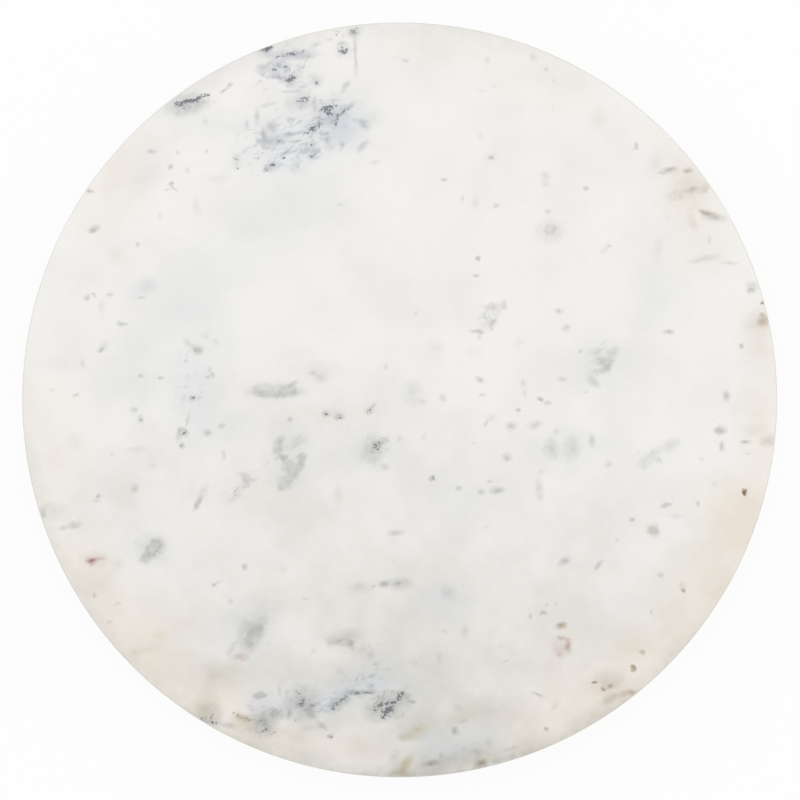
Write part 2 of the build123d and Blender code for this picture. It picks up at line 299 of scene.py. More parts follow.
        Mark(634, 149, 4, 1.2, 0, 0.2), Mark(657, 250, 5, 14, -10, 0.16), Mark(709, 241, 1.6, 3.4, 0, 0.22),
        Mark(669, 170, 6, 2, 4, 0.3),
    )),
    Cluster("brown streaks at the upper rim", Mineral.OCHRE, (
        Mark(669, 170, 7, 2.4, 4, 0.36), Mark(661, 173, 4, 1.2, 0, 0.28), Mark(688, 171, 4, 2.6, 10, 0.55),
        Mark(692, 190, 8, 2.4, 8, 0.3), Mark(705, 188, 4, 5, 0, 0.34), Mark(706, 213, 7, 2.4, -10, 0.36),
        Mark(717, 217, 9, 3.4, -12, 0.26), Mark(693, 224, 4, 7, 25, 0.2), Mark(698, 261, 10, 2.2, 8, 0.12),
        Mark(711, 257, 9, 2.6, 0, 0.14), Mark(728, 263, 8, 1.7, -6, 0.16), Mark(674, 197, 8, 5, 20, 0.15),
        Mark(655, 165, 8, 12, 0, 0.12), Mark(90, 191, 4.5, 2.2, -15, 0.5),
    )),
    Cluster("left half, dark points", Mineral.GRAIN, (
        Mark(198, 351, 3.6, 2.4, 0, 0.6), Mark(193, 398, 2.4, 2.2, 0, 1), Mark(184, 432, 2.4, 3.2, 40, 1),
        Mark(141, 420, 1.8, 2.6, 0, 0.5), Mark(369, 411, 2.6, 2.4, 0, 1), Mark(326, 414, 1.7, 1.6, 0, 0.9),
        Mark(339, 417, 2.4, 1.5, 0, 0.75), Mark(101, 350, 1.6, 1.5, 0, 0.6), Mark(182, 446, 1.6, 1.5, 0, 0.7),
        Mark(376, 447, 2.8, 3.2, 30, 1), Mark(380, 443, 4, 2, 38, 0.6), Mark(432, 478, 2.6, 2, 35, 0.9),
        Mark(744, 493, 1.5, 2.1, 0, 2),
    )),
    Cluster("left half and centre, small soft points", Mineral.FLECK, (
        Mark(87, 298, 3, 2.4, 0, 0.55), Mark(101, 350, 3.2, 2.4, 30, 0.6), Mark(182, 446, 3, 2.6, 0, 0.6),
        Mark(141, 419, 3, 3.8, 0, 0.55), Mark(326, 414, 3.6, 3, 0, 0.55), Mark(339, 417, 4.8, 3, 0, 0.6),
        Mark(369, 411, 4.4, 3.8, 0, 0.38), Mark(290, 419, 2.6, 2.4, 0, 0.5), Mark(564, 561, 6, 3.6, 32, 0.55),
        Mark(598, 565, 6, 2.2, 50, 0.5), Mark(617, 540, 2, 2.4, 0, 0.35), Mark(653, 530, 3.4, 3.4, 0, 0.5),
        Mark(377, 445, 5, 4, 30, 0.45), Mark(384, 441, 4.4, 2.8, 0, 0.9), Mark(432, 478, 3.4, 2.6, 35, 0.7),
        Mark(198, 351, 4.6, 3.4, 0, 0.4), Mark(193, 398, 3.2, 3, 0, 0.7), Mark(184, 432, 3.4, 4.4, 40, 0.9),
        Mark(330, 736, 2.6, 2.4, 0, 0.9), Mark(354, 32, 4.5, 4, 0, 0.45), Mark(266, 49, 6, 3.6, 15, 0.8),
    )),
    Cluster("left half, grey flecks", Mineral.FLECK, (
        Mark(148, 286, 7, 7, 0, 0.16), Mark(246, 482, 7, 5, 40, 0.2), Mark(94, 295, 3.4, 1.4, -30, 0.5),
        Mark(111, 295, 3.4, 2.4, 10, 0.5), Mark(142, 298, 4.5, 1.4, 0, 0.35), Mark(102, 308, 4, 7, 0, 0.18),
        Mark(122, 324, 5, 2.2, -10, 0.65), Mark(105, 346, 5, 4, 40, 0.3), Mark(83, 364, 2.2, 4.5, 15, 0.25),
        Mark(60, 363, 20, 8, 0, 0.08), Mark(190, 345, 8, 3, -40, 0.28), Mark(198, 350, 6, 5, 0, 0.3),
        Mark(186, 361, 2, 1.9, 0, 0.5), Mark(206, 335, 4, 4.5, 0, 0.18), Mark(216, 342, 3, 4, 0, 0.14),
        Mark(208, 377, 2.2, 1.8, 0, 0.4), Mark(210, 370, 1.2, 3.4, 0, 0.4), Mark(213, 375, 2, 2.4, 0, 0.4),
        Mark(188, 419, 1.6, 7.5, -15, 0.4), Mark(179, 435, 3, 7, -10, 0.42), Mark(134, 410, 3.8, 3, 0, 0.45),
        Mark(141, 376, 2.8, 1.7, 0, 0.4), Mark(161, 378, 3, 1.7, 0, 0.45), Mark(52, 390, 2.2, 2.4, 0, 0.2),
        Mark(76, 395, 3, 1.6, 10, 0.5), Mark(208, 433, 3.6, 3.4, 20, 0.5), Mark(222, 426, 3.6, 2.2, 12, 0.6),
        Mark(274, 391, 22, 5.5, 0, 0.75), Mark(290, 388, 5, 4.5, 0, 0.4), Mark(265, 386, 8, 3, 0, 0.3),
        Mark(294, 383, 5, 1.8, 40, 0.35), Mark(274, 390, 28, 9, 0, 0.25), Mark(224, 455, 2.2, 5, 0, 0.3),
        Mark(137, 449, 10, 3, 8, 0.2), Mark(112, 454, 2.2, 3, 0, 0.2), Mark(153, 466, 4, 3, 0, 0.14),
        Mark(246, 478, 3.4, 6, 25, 0.65), Mark(251, 479, 5.5, 1.8, -5, 0.4), Mark(240, 473, 3.4, 1.7, 0, 0.4),
        Mark(236, 495, 11, 3.6, 45, 0.18), Mark(198, 503, 7, 3, 62, 0.65), Mark(203, 492, 8, 4, 65, 0.25),
        Mark(135, 488, 3.4, 4.5, 0, 0.5), Mark(99, 496, 3, 1.8, 28, 0.65), Mark(97, 501, 3.4, 1.3, 0, 0.35),
        Mark(74, 525, 8, 3.4, 18, 0.5), Mark(62, 528, 4, 2.2, 20, 0.35), Mark(55, 511, 14, 8, 0, 0.2),
        Mark(44, 514, 3, 4, 0, 0.35), Mark(278, 447, 4.5, 9, -12, 0.65), Mark(282, 438, 4, 3, 0, 0.35),
        Mark(284, 459, 6, 3, -45, 0.5), Mark(290, 467, 6.5, 5.5, 0, 0.6), Mark(294, 474, 5, 4, 40, 0.5),
        Mark(302, 461, 3.4, 8, -18, 0.62), Mark(298, 469, 6, 3, 42, 0.4), Mark(285, 483, 7.5, 6, 30, 0.45),
        Mark(282, 488, 4, 3, 30, 0.4), Mark(298, 441, 12, 5, 10, 0.18), Mark(290, 462, 22, 30, 0, 0.14),
        Mark(313, 373, 3.4, 2.4, 0, 0.3), Mark(322, 378, 6, 4, 0, 0.22), Mark(317, 372, 20, 10, 0, 0.16),
        Mark(373, 406, 4.5, 1.6, 38, 0.4), Mark(333, 413, 9, 5, 0, 0.2), Mark(371, 448, 14, 11, 20, 0.42),
        Mark(375, 460, 6, 9, 0, 0.2), Mark(400, 439, 3.4, 2.6, 40, 0.32), Mark(386, 367, 2.2, 2.8, 0, 0.45),
    )),
    Cluster("centre and right, grey flecks", Mineral.FLECK, (
        Mark(416, 313, 1.7, 2.2, 0, 0.4), Mark(333, 329, 4, 2, 10, 0.14), Mark(494, 307, 9, 3.2, 0, 0.45),
        Mark(504, 305, 2.8, 5.5, 0, 0.3), Mark(496, 313, 5, 4, 30, 0.3), Mark(493, 323, 6, 2.8, 62, 0.5),
        Mark(480, 332, 3.6, 2.4, 0, 0.55), Mark(475, 331, 4.5, 1.4, 0, 0.35), Mark(479, 337, 2, 3, 0, 0.3),
        Mark(485, 325, 7, 6, 0, 0.16), Mark(480, 380, 4.6, 2.2, -25, 0.45), Mark(482, 395, 4, 1.8, 0, 0.28),
        Mark(443, 398, 3.2, 3.4, 0, 0.4), Mark(423, 402, 3, 3.4, 0, 0.22), Mark(412, 394, 8, 11, 0, 0.2),
        Mark(436, 347, 8, 6, 0, 0.1), Mark(475, 352, 8, 6, 0, 0.1), Mark(523, 383, 2.4, 3.4, 0, 0.35),
        Mark(525, 393, 1.4, 3.4, 0, 0.2), Mark(518, 344, 4, 4.5, 0, 0.14), Mark(518, 410, 2.3, 2, 0, 0.75),
        Mark(486, 423, 3.6, 1.6, 62, 0.55), Mark(491, 417, 5, 3.4, 0, 0.25), Mark(511, 426, 5, 4.5, 0, 0.55),
        Mark(535, 425, 7, 4, 10, 0.3), Mark(385, 467, 4.5, 3.2, 0, 0.38), Mark(424, 437, 2, 3, 0, 0.15),
        Mark(473, 443, 3.2, 1.7, 0, 0.22), Mark(507, 457, 4.4, 4.2, 0, 0.55),
        Mark(459, 488, 3.2, 2.6, 0, 0.55), Mark(481, 492, 4, 2.6, -10, 0.45),
        Mark(490, 481, 2.8, 1.4, 0, 0.38), Mark(497, 490, 7, 3.4, 0, 0.65), Mark(487, 527, 3.4, 2, 0, 0.2),
        Mark(750, 291, 4, 2.2, 10, 0.65), Mark(752, 286, 6, 5, 0, 0.3), Mark(741, 346, 2.4, 2.8, 0, 0.5),
        Mark(559, 311, 4, 2.2, 5, 0.45), Mark(566, 328, 4, 3.2, 20, 0.4), Mark(668, 332, 5, 2.4, -5, 0.55),
        Mark(603, 361, 10, 4, 0, 0.5), Mark(607, 367, 5, 3, 30, 0.5), Mark(602, 371, 7, 3, 0, 0.5),
        Mark(613, 352, 6, 4, 35, 0.35), Mark(595, 352, 7, 4, 0, 0.3), Mark(594, 383, 6, 3.6, -35, 0.42),
        Mark(590, 377, 5, 6, 0, 0.22), Mark(580, 351, 2.2, 2.2, 0, 0.32), Mark(602, 362, 17, 18, 0, 0.06),
        Mark(562, 379, 4, 2.2, 0, 0.35), Mark(586, 392, 3, 2, 0, 0.22), Mark(540, 399, 3.2, 2, -28, 0.8),
        Mark(548, 403, 3.4, 2.6, 20, 0.55), Mark(556, 432, 3, 3, 0, 0.25), Mark(551, 448, 6, 10, 0, 0.35),
        Mark(572, 448, 7, 11, 0, 0.32), Mark(592, 441, 3.2, 5.5, 0, 0.5), Mark(608, 464, 3.4, 3, 30, 0.32),
        Mark(650, 457, 13, 5, 38, 0.32), Mark(671, 445, 9, 5, 35, 0.32), Mark(645, 467, 4, 3, 30, 0.22),
        Mark(539, 489, 4, 11, 5, 0.35), Mark(541, 472, 3.4, 2.4, 0, 0.25), Mark(726, 396, 3.4, 5, 15, 0.55),
        Mark(720, 430, 5.5, 4, 0, 0.75), Mark(721, 446, 2.2, 4.5, 0, 0.42), Mark(745, 442, 4.5, 1.7, 0, 0.7),
        Mark(748, 454, 4, 1.3, 0, 0.28), Mark(701, 459, 2.6, 2, 0, 0.22), Mark(714, 484, 3, 3, 0, 0.2),
        Mark(666, 505, 5, 2.2, 14, 0.8), Mark(697, 503, 2, 2.2, 0, 0.7), Mark(632, 520, 2.8, 2.2, 0, 0.6),
        Mark(677, 516, 6, 2.2, 0, 0.22), Mark(653, 530, 5.5, 5.5, 0, 0.65),
    )),
    Cluster("lower left, grey flecks", Mineral.FLECK, (
        Mark(212, 720, 9, 4, -12, 0.25), Mark(264, 729, 8, 5, -10, 0.25), Mark(253, 630, 19, 10, 60, 0.3),
        Mark(147, 558, 7, 4, 10, 0.7), Mark(152, 549, 9, 4.5, 65, 0.6), Mark(159, 544, 6, 7, 0, 0.38),
        Mark(152, 550, 15, 14, 0, 0.25), Mark(118, 566, 6, 8, 0, 0.16), Mark(245, 567, 2.4, 3.2, 0, 0.5),
        Mark(214, 585, 2.3, 1.7, 0, 0.55), Mark(219, 582, 5, 1.4, 30, 0.3), Mark(231, 601, 2.6, 3.4, 0, 0.25),
        Mark(95, 596, 2.4, 3, 0, 0.5), Mark(118, 604, 4.5, 1.5, 30, 0.3), Mark(110, 622, 2.8, 1.8, 20, 0.5),
        Mark(253, 640, 13, 6, 62, 0.6), Mark(260, 627, 12, 5, 68, 0.32), Mark(246, 630, 9, 14, 0, 0.2),
        Mark(231, 650, 6, 3, 60, 0.32), Mark(260, 695, 6, 3.1, 12, 1), Mark(270, 712, 6.5, 4.1, 0, 0.56),
        Mark(262, 722, 13, 13, 0, 0.56), Mark(210, 713, 11, 9, 10, 0.36), Mark(228, 725, 7, 2.2, -12, 0.5),
        Mark(396, 533, 8, 3, 5, 0.4), Mark(383, 584, 4.5, 2.8, 12, 0.75), Mark(374, 586, 2.8, 1.4, 20, 0.42),
        Mark(399, 584, 12, 6, 0, 0.45), Mark(360, 587, 9, 5, 0, 0.25), Mark(305, 599, 4, 1.8, 0, 0.25),
        Mark(283, 570, 4, 3, 0, 0.14), Mark(448, 592, 7, 7, 0, 0.28), Mark(465, 631, 4, 6, 0, 0.28),
        Mark(444, 631, 4.5, 1.5, -20, 0.22), Mark(342, 642, 7, 4, 5, 0.4), Mark(350, 643, 4.5, 3, 0, 0.45),
        Mark(331, 642, 5, 4.5, 0, 0.35), Mark(346, 637, 14, 7, 10, 0.36), Mark(361, 651, 12, 8, -20, 0.25),
        Mark(371, 656, 3.4, 6, 0, 0.25), Mark(376, 663, 2.2, 2, 0, 0.32), Mark(388, 669, 3.4, 2, 0, 0.25),
        Mark(340, 670, 3.4, 3, -40, 0.22), Mark(370, 674, 28, 14, 0, 0.12), Mark(314, 650, 3, 3, 0, 0.2),
        Mark(371, 686, 3.4, 3, 30, 0.4), Mark(415, 662, 3.2, 2.8, 0, 0.25), Mark(439, 658, 3, 6, 0, 0.2),
        Mark(280, 690, 2.2, 4.5, 0, 0.35), Mark(303, 703, 16, 14, -20, 0.63),
        Mark(275, 713, 7.5, 4.8, 0, 0.59), Mark(289, 713, 3.3, 6, 0, 0.35), Mark(311, 715, 4.4, 3.6, 0, 0.39),
        Mark(340, 701, 13, 6, 35, 0.7), Mark(362, 692, 13, 2.4, 2, 0.7), Mark(388, 706, 20, 12, 20, 0.7),
        Mark(407, 695, 4.4, 3.1, 0, 0.56), Mark(412, 701, 4, 1.7, 0, 0.56),
        Mark(322, 725, 6.5, 2.4, -40, 0.45), Mark(310, 728, 10, 2.4, 10, 0.28),
        Mark(402, 737, 4.5, 4, 0, 0.35), Mark(395, 757, 5, 7, 0, 0.32), Mark(431, 762, 8, 3, 8, 0.45),
        Mark(441, 755, 2, 2.4, 0, 0.5), Mark(478, 752, 6, 4, 0, 0.35), Mark(468, 755, 24, 10, 8, 0.28),
        Mark(438, 763, 18, 8, 4, 0.22), Mark(482, 763, 6, 3.5, 15, 0.8), Mark(455, 731, 4, 4, 0, 0.5),
        Mark(489, 741, 4, 4.5, 0, 0.2), Mark(462, 721, 6, 2, 12, 0.3), Mark(457, 708, 6, 3, -20, 0.25),
        Mark(511, 748, 7, 1.8, 18, 0.42), Mark(501, 645, 2.2, 3.4, 0, 0.2), Mark(505, 661, 4, 1.5, 30, 0.3),
    )),
    Cluster("lower left, dark cores", Mineral.GRAIN, (
        Mark(214, 722, 5.5, 2.4, -14, 0.8), Mark(212, 714, 2.4, 5, -8, 0.55),
        Mark(203, 718, 4.5, 1.7, 5, 0.5), Mark(235, 713, 5, 1.5, -36, 0.6),
        Mark(246, 719, 4.5, 1.8, -12, 0.5), Mark(266, 727, 4, 3, -30, 0.55), Mark(264, 731, 4, 2.8, 10, 0.8),
        Mark(260, 720, 3, 3, 0, 0.45), Mark(274, 733, 2.8, 1.8, 12, 0.65), Mark(330, 736, 2, 1.9, 0, 1),
        Mark(301, 703, 3.8, 2.8, 25, 1), Mark(297, 692, 4, 1.8, -20, 0.7),
        Mark(304, 698, 3.4, 1.7, -42, 0.55), Mark(313, 706, 2.2, 2, 0, 0.7), Mark(295, 719, 2.6, 2, 0, 0.55),
        Mark(334, 707, 2.2, 3.2, -20, 0.95), Mark(338, 702, 4.4, 2, 42, 0.55), Mark(344, 698, 4, 2, 22, 0.65),
        Mark(349, 694, 3.4, 1.7, 42, 0.6), Mark(357, 693, 3.6, 2.2, 0, 0.95), Mark(366, 692, 6, 1.4, 4, 0.55),
        Mark(357, 679, 2.4, 2, 0, 0.7), Mark(378, 704, 3.4, 2.2, 0, 0.95), Mark(384, 704, 4.2, 2.4, 10, 1),
        Mark(386, 711, 5, 3, 0, 1), Mark(390, 709, 3.4, 3.4, 0, 1), Mark(384, 716, 4.4, 2.2, 15, 0.8),
        Mark(374, 708, 2, 3, 0, 0.6), Mark(386, 708, 11, 8, 20, 0.35), Mark(391, 702, 3.4, 1.8, 15, 0.9),
        Mark(397, 700, 3, 2.2, 30, 0.9), Mark(400, 696, 3, 3.4, -25, 1.5), Mark(403, 693, 2.6, 2, 20, 1.1),
        Mark(390, 691, 2.2, 1.2, 0, 0.6), Mark(483, 763, 2.4, 1.8, 0, 0.8),
    )),
    Cluster("cool haze round the other flecks", Mineral.HAZE, (
        Mark(370, 680, 28, 20, 10, 0.55), Mark(385, 690, 34, 18, 0, 0.33), Mark(300, 703, 38, 22, 0, 0.5),
        Mark(262, 715, 22, 20, 0, 0.45), Mark(330, 698, 18, 14, 0, 0.39), Mark(480, 738, 26, 18, 0, 0.59),
        Mark(440, 748, 26, 14, 0, 0.52), Mark(445, 600, 22, 18, 0, 0.33), Mark(250, 630, 26, 26, 0, 0.3),
        Mark(150, 552, 26, 22, 0, 0.26), Mark(372, 450, 26, 20, 0, 0.33), Mark(296, 452, 24, 26, 0, 0.26),
        Mark(562, 450, 30, 20, 0, 0.33), Mark(656, 300, 26, 26, -30, 0.3), Mark(600, 365, 26, 30, 0, 0.33),
        Mark(405, 392, 22, 14, 0, 0.2), Mark(660, 455, 30, 16, 35, 0.2), Mark(602, 442, 26, 18, 0, 0.18),
        Mark(462, 500, 60, 40, 0, 0.13),
    )),
    Cluster("rust, ochre and brown points", Mineral.OCHRE, (
        Mark(763, 321, 5, 4, 20, 0.3), Mark(762, 315, 2.4, 1.8, 0, 0.55), Mark(753, 325, 7, 4, 10, 0.07),
        Mark(762, 303, 2.3, 1.9, 0, 1), Mark(744, 492, 2.2, 3.2, 0, 2.4), Mark(561, 625, 5.5, 3.2, 10, 0.6),
        Mark(633, 668, 2.2, 3.2, 15, 0.95), Mark(594, 682, 2.4, 1.8, 0, 1.4), Mark(603, 689, 2.5, 2, 0, 1),
        Mark(610, 686, 2.8, 1.7, 15, 0.4), Mark(683, 591, 1.9, 1.9, 0, 0.55),
        Mark(682, 586, 3.4, 4.5, 0, 0.25), Mark(660, 575, 3.2, 2.2, 0, 0.38),
        Mark(642, 652, 2.8, 2.2, -30, 0.45), Mark(651, 612, 1.6, 2.4, 0, 0.3),
        Mark(622, 693, 11, 3.4, 14, 0.24), Mark(611, 700, 11, 4, 18, 0.2), Mark(632, 692, 4.5, 2.4, 0, 0.3),
        Mark(609, 680, 13, 8, 0, 0.16), Mark(538, 694, 7, 1.5, -24, 0.38), Mark(555, 705, 7, 3, 55, 0.2),
        Mark(546, 729, 2.1, 2, 0, 0.55), Mark(543, 613, 3.2, 2.2, 10, 0.5), Mark(530, 616, 2.3, 2.2, 0, 0.42),
        Mark(547, 604, 1.7, 1.6, 0, 0.25), Mark(555, 604, 1.8, 1.7, 0, 0.3),
        Mark(455, 731, 3.4, 3.4, 0, 0.35), Mark(242, 717, 7, 2.6, -20, 0.42), Mark(430, 763, 7, 2.4, 8, 0.3),
        Mark(140, 651, 19, 4, 15, 0.12), Mark(338, 496, 5, 8, 0, 0.14), Mark(722, 447, 2.6, 4.5, 0, 0.22),
        Mark(755, 430, 11, 6, 0, 0.12), Mark(345, 87, 7, 2.4, 55, 0.12), Mark(95, 229, 5.5, 3, 25, 0.25),
        # The point at x 401, y 772 is painted shade at the bottom edge, with a brown tint
        Mark(482, 763, 4.5, 3, 15, 0.5), Mark(260, 695, 6, 3, 12, 0.25), Mark(401, 772, 5, 4, 0, 0.3),
    )),
    Cluster("reddish veinlets", Mineral.ROSE, (
        Mark(91, 561, 5.5, 2.8, 0, 0.6), Mark(99, 559, 7, 1.9, 5, 0.32), Mark(96, 559, 13, 7, 0, 0.24),
        Mark(568, 646, 3, 6.5, 0, 0.42), Mark(562, 638, 5.5, 2, -10, 0.42), Mark(562, 648, 9, 9, 0, 0.32),
        Mark(559, 655, 2.4, 2.2, 0, 0.35), Mark(241, 657, 7, 3.5, 0, 0.5), Mark(437, 45, 26, 12, 0, 0.04),
        Mark(768, 441, 7, 6, 0, 0.42), Mark(598, 118, 8, 12, 0, 0.1), Mark(522, 718, 26, 20, 0, 0.1),
        Mark(763, 321, 7, 6, 0, 0.15), Mark(575, 668, 22, 26, 0, 0.07), Mark(608, 684, 19, 12, 10, 0.13),
    )),
    # Painted shade: broad marks that darken the plate towards the bottom and left of the middle, with a few
    # grey patches of the stone
    Cluster("grey shade, mostly of the lower half", Mineral.SHADE, (
        Mark(310, 412, 90, 50, 0, 0.26), Mark(190, 495, 100, 45, 0, 0.24), Mark(392, 442, 60, 40, 0, 0.15),
        Mark(290, 676, 60, 22, -4, 0.5), Mark(208, 678, 30, 22, 0, 0.5), Mark(480, 715, 26, 18, 0, 0.35),
        Mark(314, 722, 40, 15, 0, 0.45), Mark(520, 450, 260, 170, 0, 0.05), Mark(118, 500, 36, 42, 0, 0.16),
        Mark(160, 442, 26, 20, 0, 0.2), Mark(262, 482, 34, 22, 0, 0.2), Mark(282, 602, 26, 18, 0, 0.3),
        Mark(520, 622, 30, 34, 0, 0.22), Mark(362, 640, 20, 14, 0, 0.25), Mark(420, 560, 220, 110, 0, 0.2),
        Mark(420, 660, 150, 70, 0, 0.34), Mark(300, 705, 40, 22, 0, 0.2), Mark(388, 698, 42, 26, 0, 0.4),
        Mark(110, 400, 50, 60, 0, 0.1), Mark(300, 600, 120, 80, 10, 0.24), Mark(600, 620, 120, 90, 30, 0.24),
        Mark(400, 760, 170, 60, 0, 0.36), Mark(170, 610, 90, 70, -40, 0.2), Mark(462, 757, 34, 15, 10, 0.45),
        Mark(418, 762, 22, 14, 0, 0.4), Mark(250, 742, 26, 12, -22, 0.35), Mark(690, 188, 22, 14, -40, 0.4),
        Mark(300, 752, 32, 12, -6, 0.4), Mark(757, 330, 12, 18, 0, 0.35), Mark(100, 600, 24, 20, -50, 0.3),
        Mark(598, 716, 30, 12, 28, 0.4), Mark(522, 746, 26, 12, 12, 0.4), Mark(607, 682, 16, 9, 20, 0.35),
        Mark(432, 700, 46, 34, 0, 0.3), Mark(440, 736, 42, 26, 0, 0.35), Mark(478, 744, 26, 16, 8, 0.25),
        Mark(210, 712, 16, 13, 20, 0.4), Mark(372, 668, 36, 22, 0, 0.2), Mark(330, 742, 50, 20, -6, 0.2),
        Mark(505, 714, 30, 22, 0, 0.25), Mark(400, 774, 18, 12, 0, 0.7),
    )),
    # The olive marks at the bottom of the rim, about x 400, are olive tint of the stone, darkened and carried
    # out to the edge as painted shade
    Cluster("olive tint of the lower rim", Mineral.OLIVE, (
        Mark(404, 766, 5, 8, 0, 0.95), Mark(413, 731, 12, 7, 20, 0.4), Mark(404, 737, 6, 5, 0, 0.3),
        Mark(430, 762, 10, 4, 8, 0.3), Mark(457, 724, 7, 9, 0, 0.3), Mark(466, 714, 10, 8, 0, 0.2),
        Mark(206, 708, 12, 16, 20, 0.5), Mark(212, 676, 9, 9, 0, 0.25), Mark(243, 723, 13, 7, -20, 0.7),
        Mark(285, 735, 18, 5, 0, 0.3), Mark(340, 641, 15, 8, 0, 0.35), Mark(225, 665, 14, 10, 0, 0.15),
        Mark(160, 637, 10, 6, 0, 0.2), Mark(75, 446, 8, 10, 0, 0.14), Mark(118, 254, 10, 8, 0, 0.14),
        Mark(600, 714, 24, 10, 28, 0.12), Mark(482, 763, 9, 5, 15, 0.7), Mark(264, 731, 9, 6, 0, 0.3),
        Mark(653, 531, 6, 6, 0, 0.3), Mark(462, 754, 36, 14, 8, 0.22), Mark(401, 778, 13, 10, 0, 0.9),
    )),
    Cluster("where wisps gather", Mineral.WISP, (
        Mark(322, 115, 40, 24, 25, 0.44), Mark(285, 72, 34, 22, 5, 0.6), Mark(272, 146, 38, 28, 20, 0.5),
        Mark(262, 120, 26, 20, 0, 0.2), Mark(345, 126, 28, 18, 20, 0.28), Mark(312, 152, 34, 14, 10, 0.42),
        Mark(190, 105, 24, 11, 14, 0.7), Mark(345, 45, 20, 16, 0, 0.4), Mark(300, 705, 38, 20, 0, 0.65),
        Mark(386, 702, 28, 18, 20, 0.65), Mark(262, 722, 20, 18, 0, 0.6), Mark(345, 692, 30, 12, 20, 0.5),
        Mark(365, 665, 24, 22, -20, 0.4), Mark(470, 745, 40, 18, 8, 0.25), Mark(214, 712, 18, 15, 0, 0.3),
        Mark(290, 460, 24, 32, -10, 0.4), Mark(604, 364, 20, 24, 0, 0.45), Mark(254, 636, 20, 26, -20, 0.3),
        Mark(151, 550, 18, 17, 30, 0.5), Mark(346, 643, 26, 12, 0, 0.35), Mark(275, 390, 28, 10, 0, 0.4),
        Mark(562, 450, 30, 15, 0, 0.4), Mark(658, 453, 32, 12, 36, 0.4), Mark(493, 318, 18, 22, -30, 0.45),
        Mark(374, 448, 20, 16, 20, 0.45), Mark(192, 385, 26, 60, 8, 0.3), Mark(690, 195, 34, 30, 0, 0.3),
        Mark(395, 584, 24, 8, 0, 0.25), Mark(245, 480, 22, 16, 40, 0.4), Mark(720, 430, 14, 22, 0, 0.35),
    )),
    Cluster("iron tint along the rim", Mineral.STAIN, (
        Mark(292, 724, 40, 16, 0, 0.3), Mark(480, 712, 24, 14, 0, 0.35), Mark(548, 684, 40, 20, 10, 0.2),
        Mark(300, 668, 50, 18, 0, 0.14), Mark(690, 192, 30, 24, -50, 0.55), Mark(705, 245, 30, 26, 0, 0.18),
        Mark(739, 515, 36, 40, 60, 0.62), Mark(700, 585, 42, 36, 50, 0.58), Mark(640, 660, 55, 32, 40, 0.6),
        Mark(570, 715, 60, 28, 20, 0.5), Mark(480, 740, 60, 26, 8, 0.35), Mark(330, 745, 70, 24, -8, 0.45),
        Mark(220, 700, 50, 34, -30, 0.5), Mark(140, 640, 50, 38, -50, 0.55), Mark(90, 570, 46, 34, -60, 0.3),
        Mark(60, 450, 26, 60, 0, 0.2), Mark(118, 185, 50, 30, 50, 0.3), Mark(440, 46, 50, 18, 0, 0.14),
        Mark(540, 80, 50, 26, -20, 0.2), Mark(598, 120, 12, 10, 0, 0.15), Mark(757, 330, 18, 30, 0, 0.45),
        Mark(762, 430, 20, 50, 0, 0.4), Mark(560, 650, 34, 26, 0, 0.25), Mark(260, 752, 46, 18, -20, 0.4),
        Mark(600, 714, 40, 16, 28, 0.5), Mark(515, 748, 34, 14, 12, 0.4), Mark(100, 602, 22, 16, -50, 0.3),
        Mark(665, 145, 22, 12, -40, 0.2), Mark(190, 617, 20, 14, 0, 0.25),
    )),
    # Painted shade: a grey band that darkens the outer rim along the top and round the lower half
    Cluster("grey edge of the rim", Mineral.FLECK, (
        *rim_arc(75, 120, 11, 0.13), *rim_arc(195, 315, 10, 0.12), *rim_arc(270, 285, 9, 0.12),
    )),
    # Painted shade: a thin dark line on the lowest stretch of the arris, which faces away from the light
    Cluster("shade on the lowest arris", Mineral.FLECK, (
        *rim_arc(240, 315, 3, 0.08), *rim_arc(270, 285, 3, 0.12),
    )),
    Cluster("beige edge of the rim", Mineral.STAIN, (
        *rim_arc(180, 225, 18, 0.1), *rim_arc(300, 330, 18, 0.15),
    )),
    Cluster("brown edge of the rim", Mineral.OCHRE, (
        *rim_arc(180, 225, 11, 0.03), *rim_arc(270, 330, 8, 0.04),
    )),
    Cluster("yellow rust in the brown points", Mineral.RUST, (
        Mark(744, 492, 2.4, 3.5, 0, 1), Mark(633, 668, 2.2, 3.2, 15, 0.6), Mark(561, 625, 5, 3, 10, 0.25),
        Mark(616, 697, 15, 4.5, 16, 0.1), Mark(612, 692, 26, 13, 26, 0.09), Mark(763, 322, 5, 5, 0, 0.45),
        Mark(242, 718, 8, 3.5, -20, 0.2), Mark(409, 734, 4, 4, 0, 0.18), Mark(417, 729, 4, 3, 20, 0.2),
        Mark(405, 764, 4, 8, 0, 0.14),
    )),
)


@dataclass(frozen=True)
class Ramp:
    """A straight rise from a low to a high value while what drives it goes from start to end."""

    start: float
    end: float
    low: float = 0.0
    high: float = 1.0

    def inputs(self, driver: Socket) -> dict:
        """Inputs for a node that maps one range onto another."""
        return {0: driver, 1: self.start, 2: self.end, 3: self.low, 4: self.high}


@dataclass(frozen=True)
class Finish:
    """A finish named for its material and how the surface was made."""

    name: str

    def material(self) -> bpy.types.Material:
        """Build the finish once and hand out the same material after that.

        Returns:
            The Blender material.
        """
        made = bpy.data.materials.get(self.name)
        if made:
            return made
        made = bpy.data.materials.new(self.name)
        made.use_nodes = True
        tree = made.node_tree
        place = add_node(tree, "TexCoord")
        self.dress(tree, tree.nodes["Principled BSDF"], place)
        return made

    def dress(self, tree: Tree, shader: Node, place: Node) -> None:
        """Wire the finish's nodes into its shader.

        Args:
            tree: The material's node tree.
            shader: Its principled shader.
            place: Its texture coordinates.
        """
        raise NotImplementedError


@dataclass(frozen=True)
class Patch:
    """A stretch of the plate with a material of its own, which then holds only the marks that reach it."""

    name: str
    centre: Vector
    reach: float


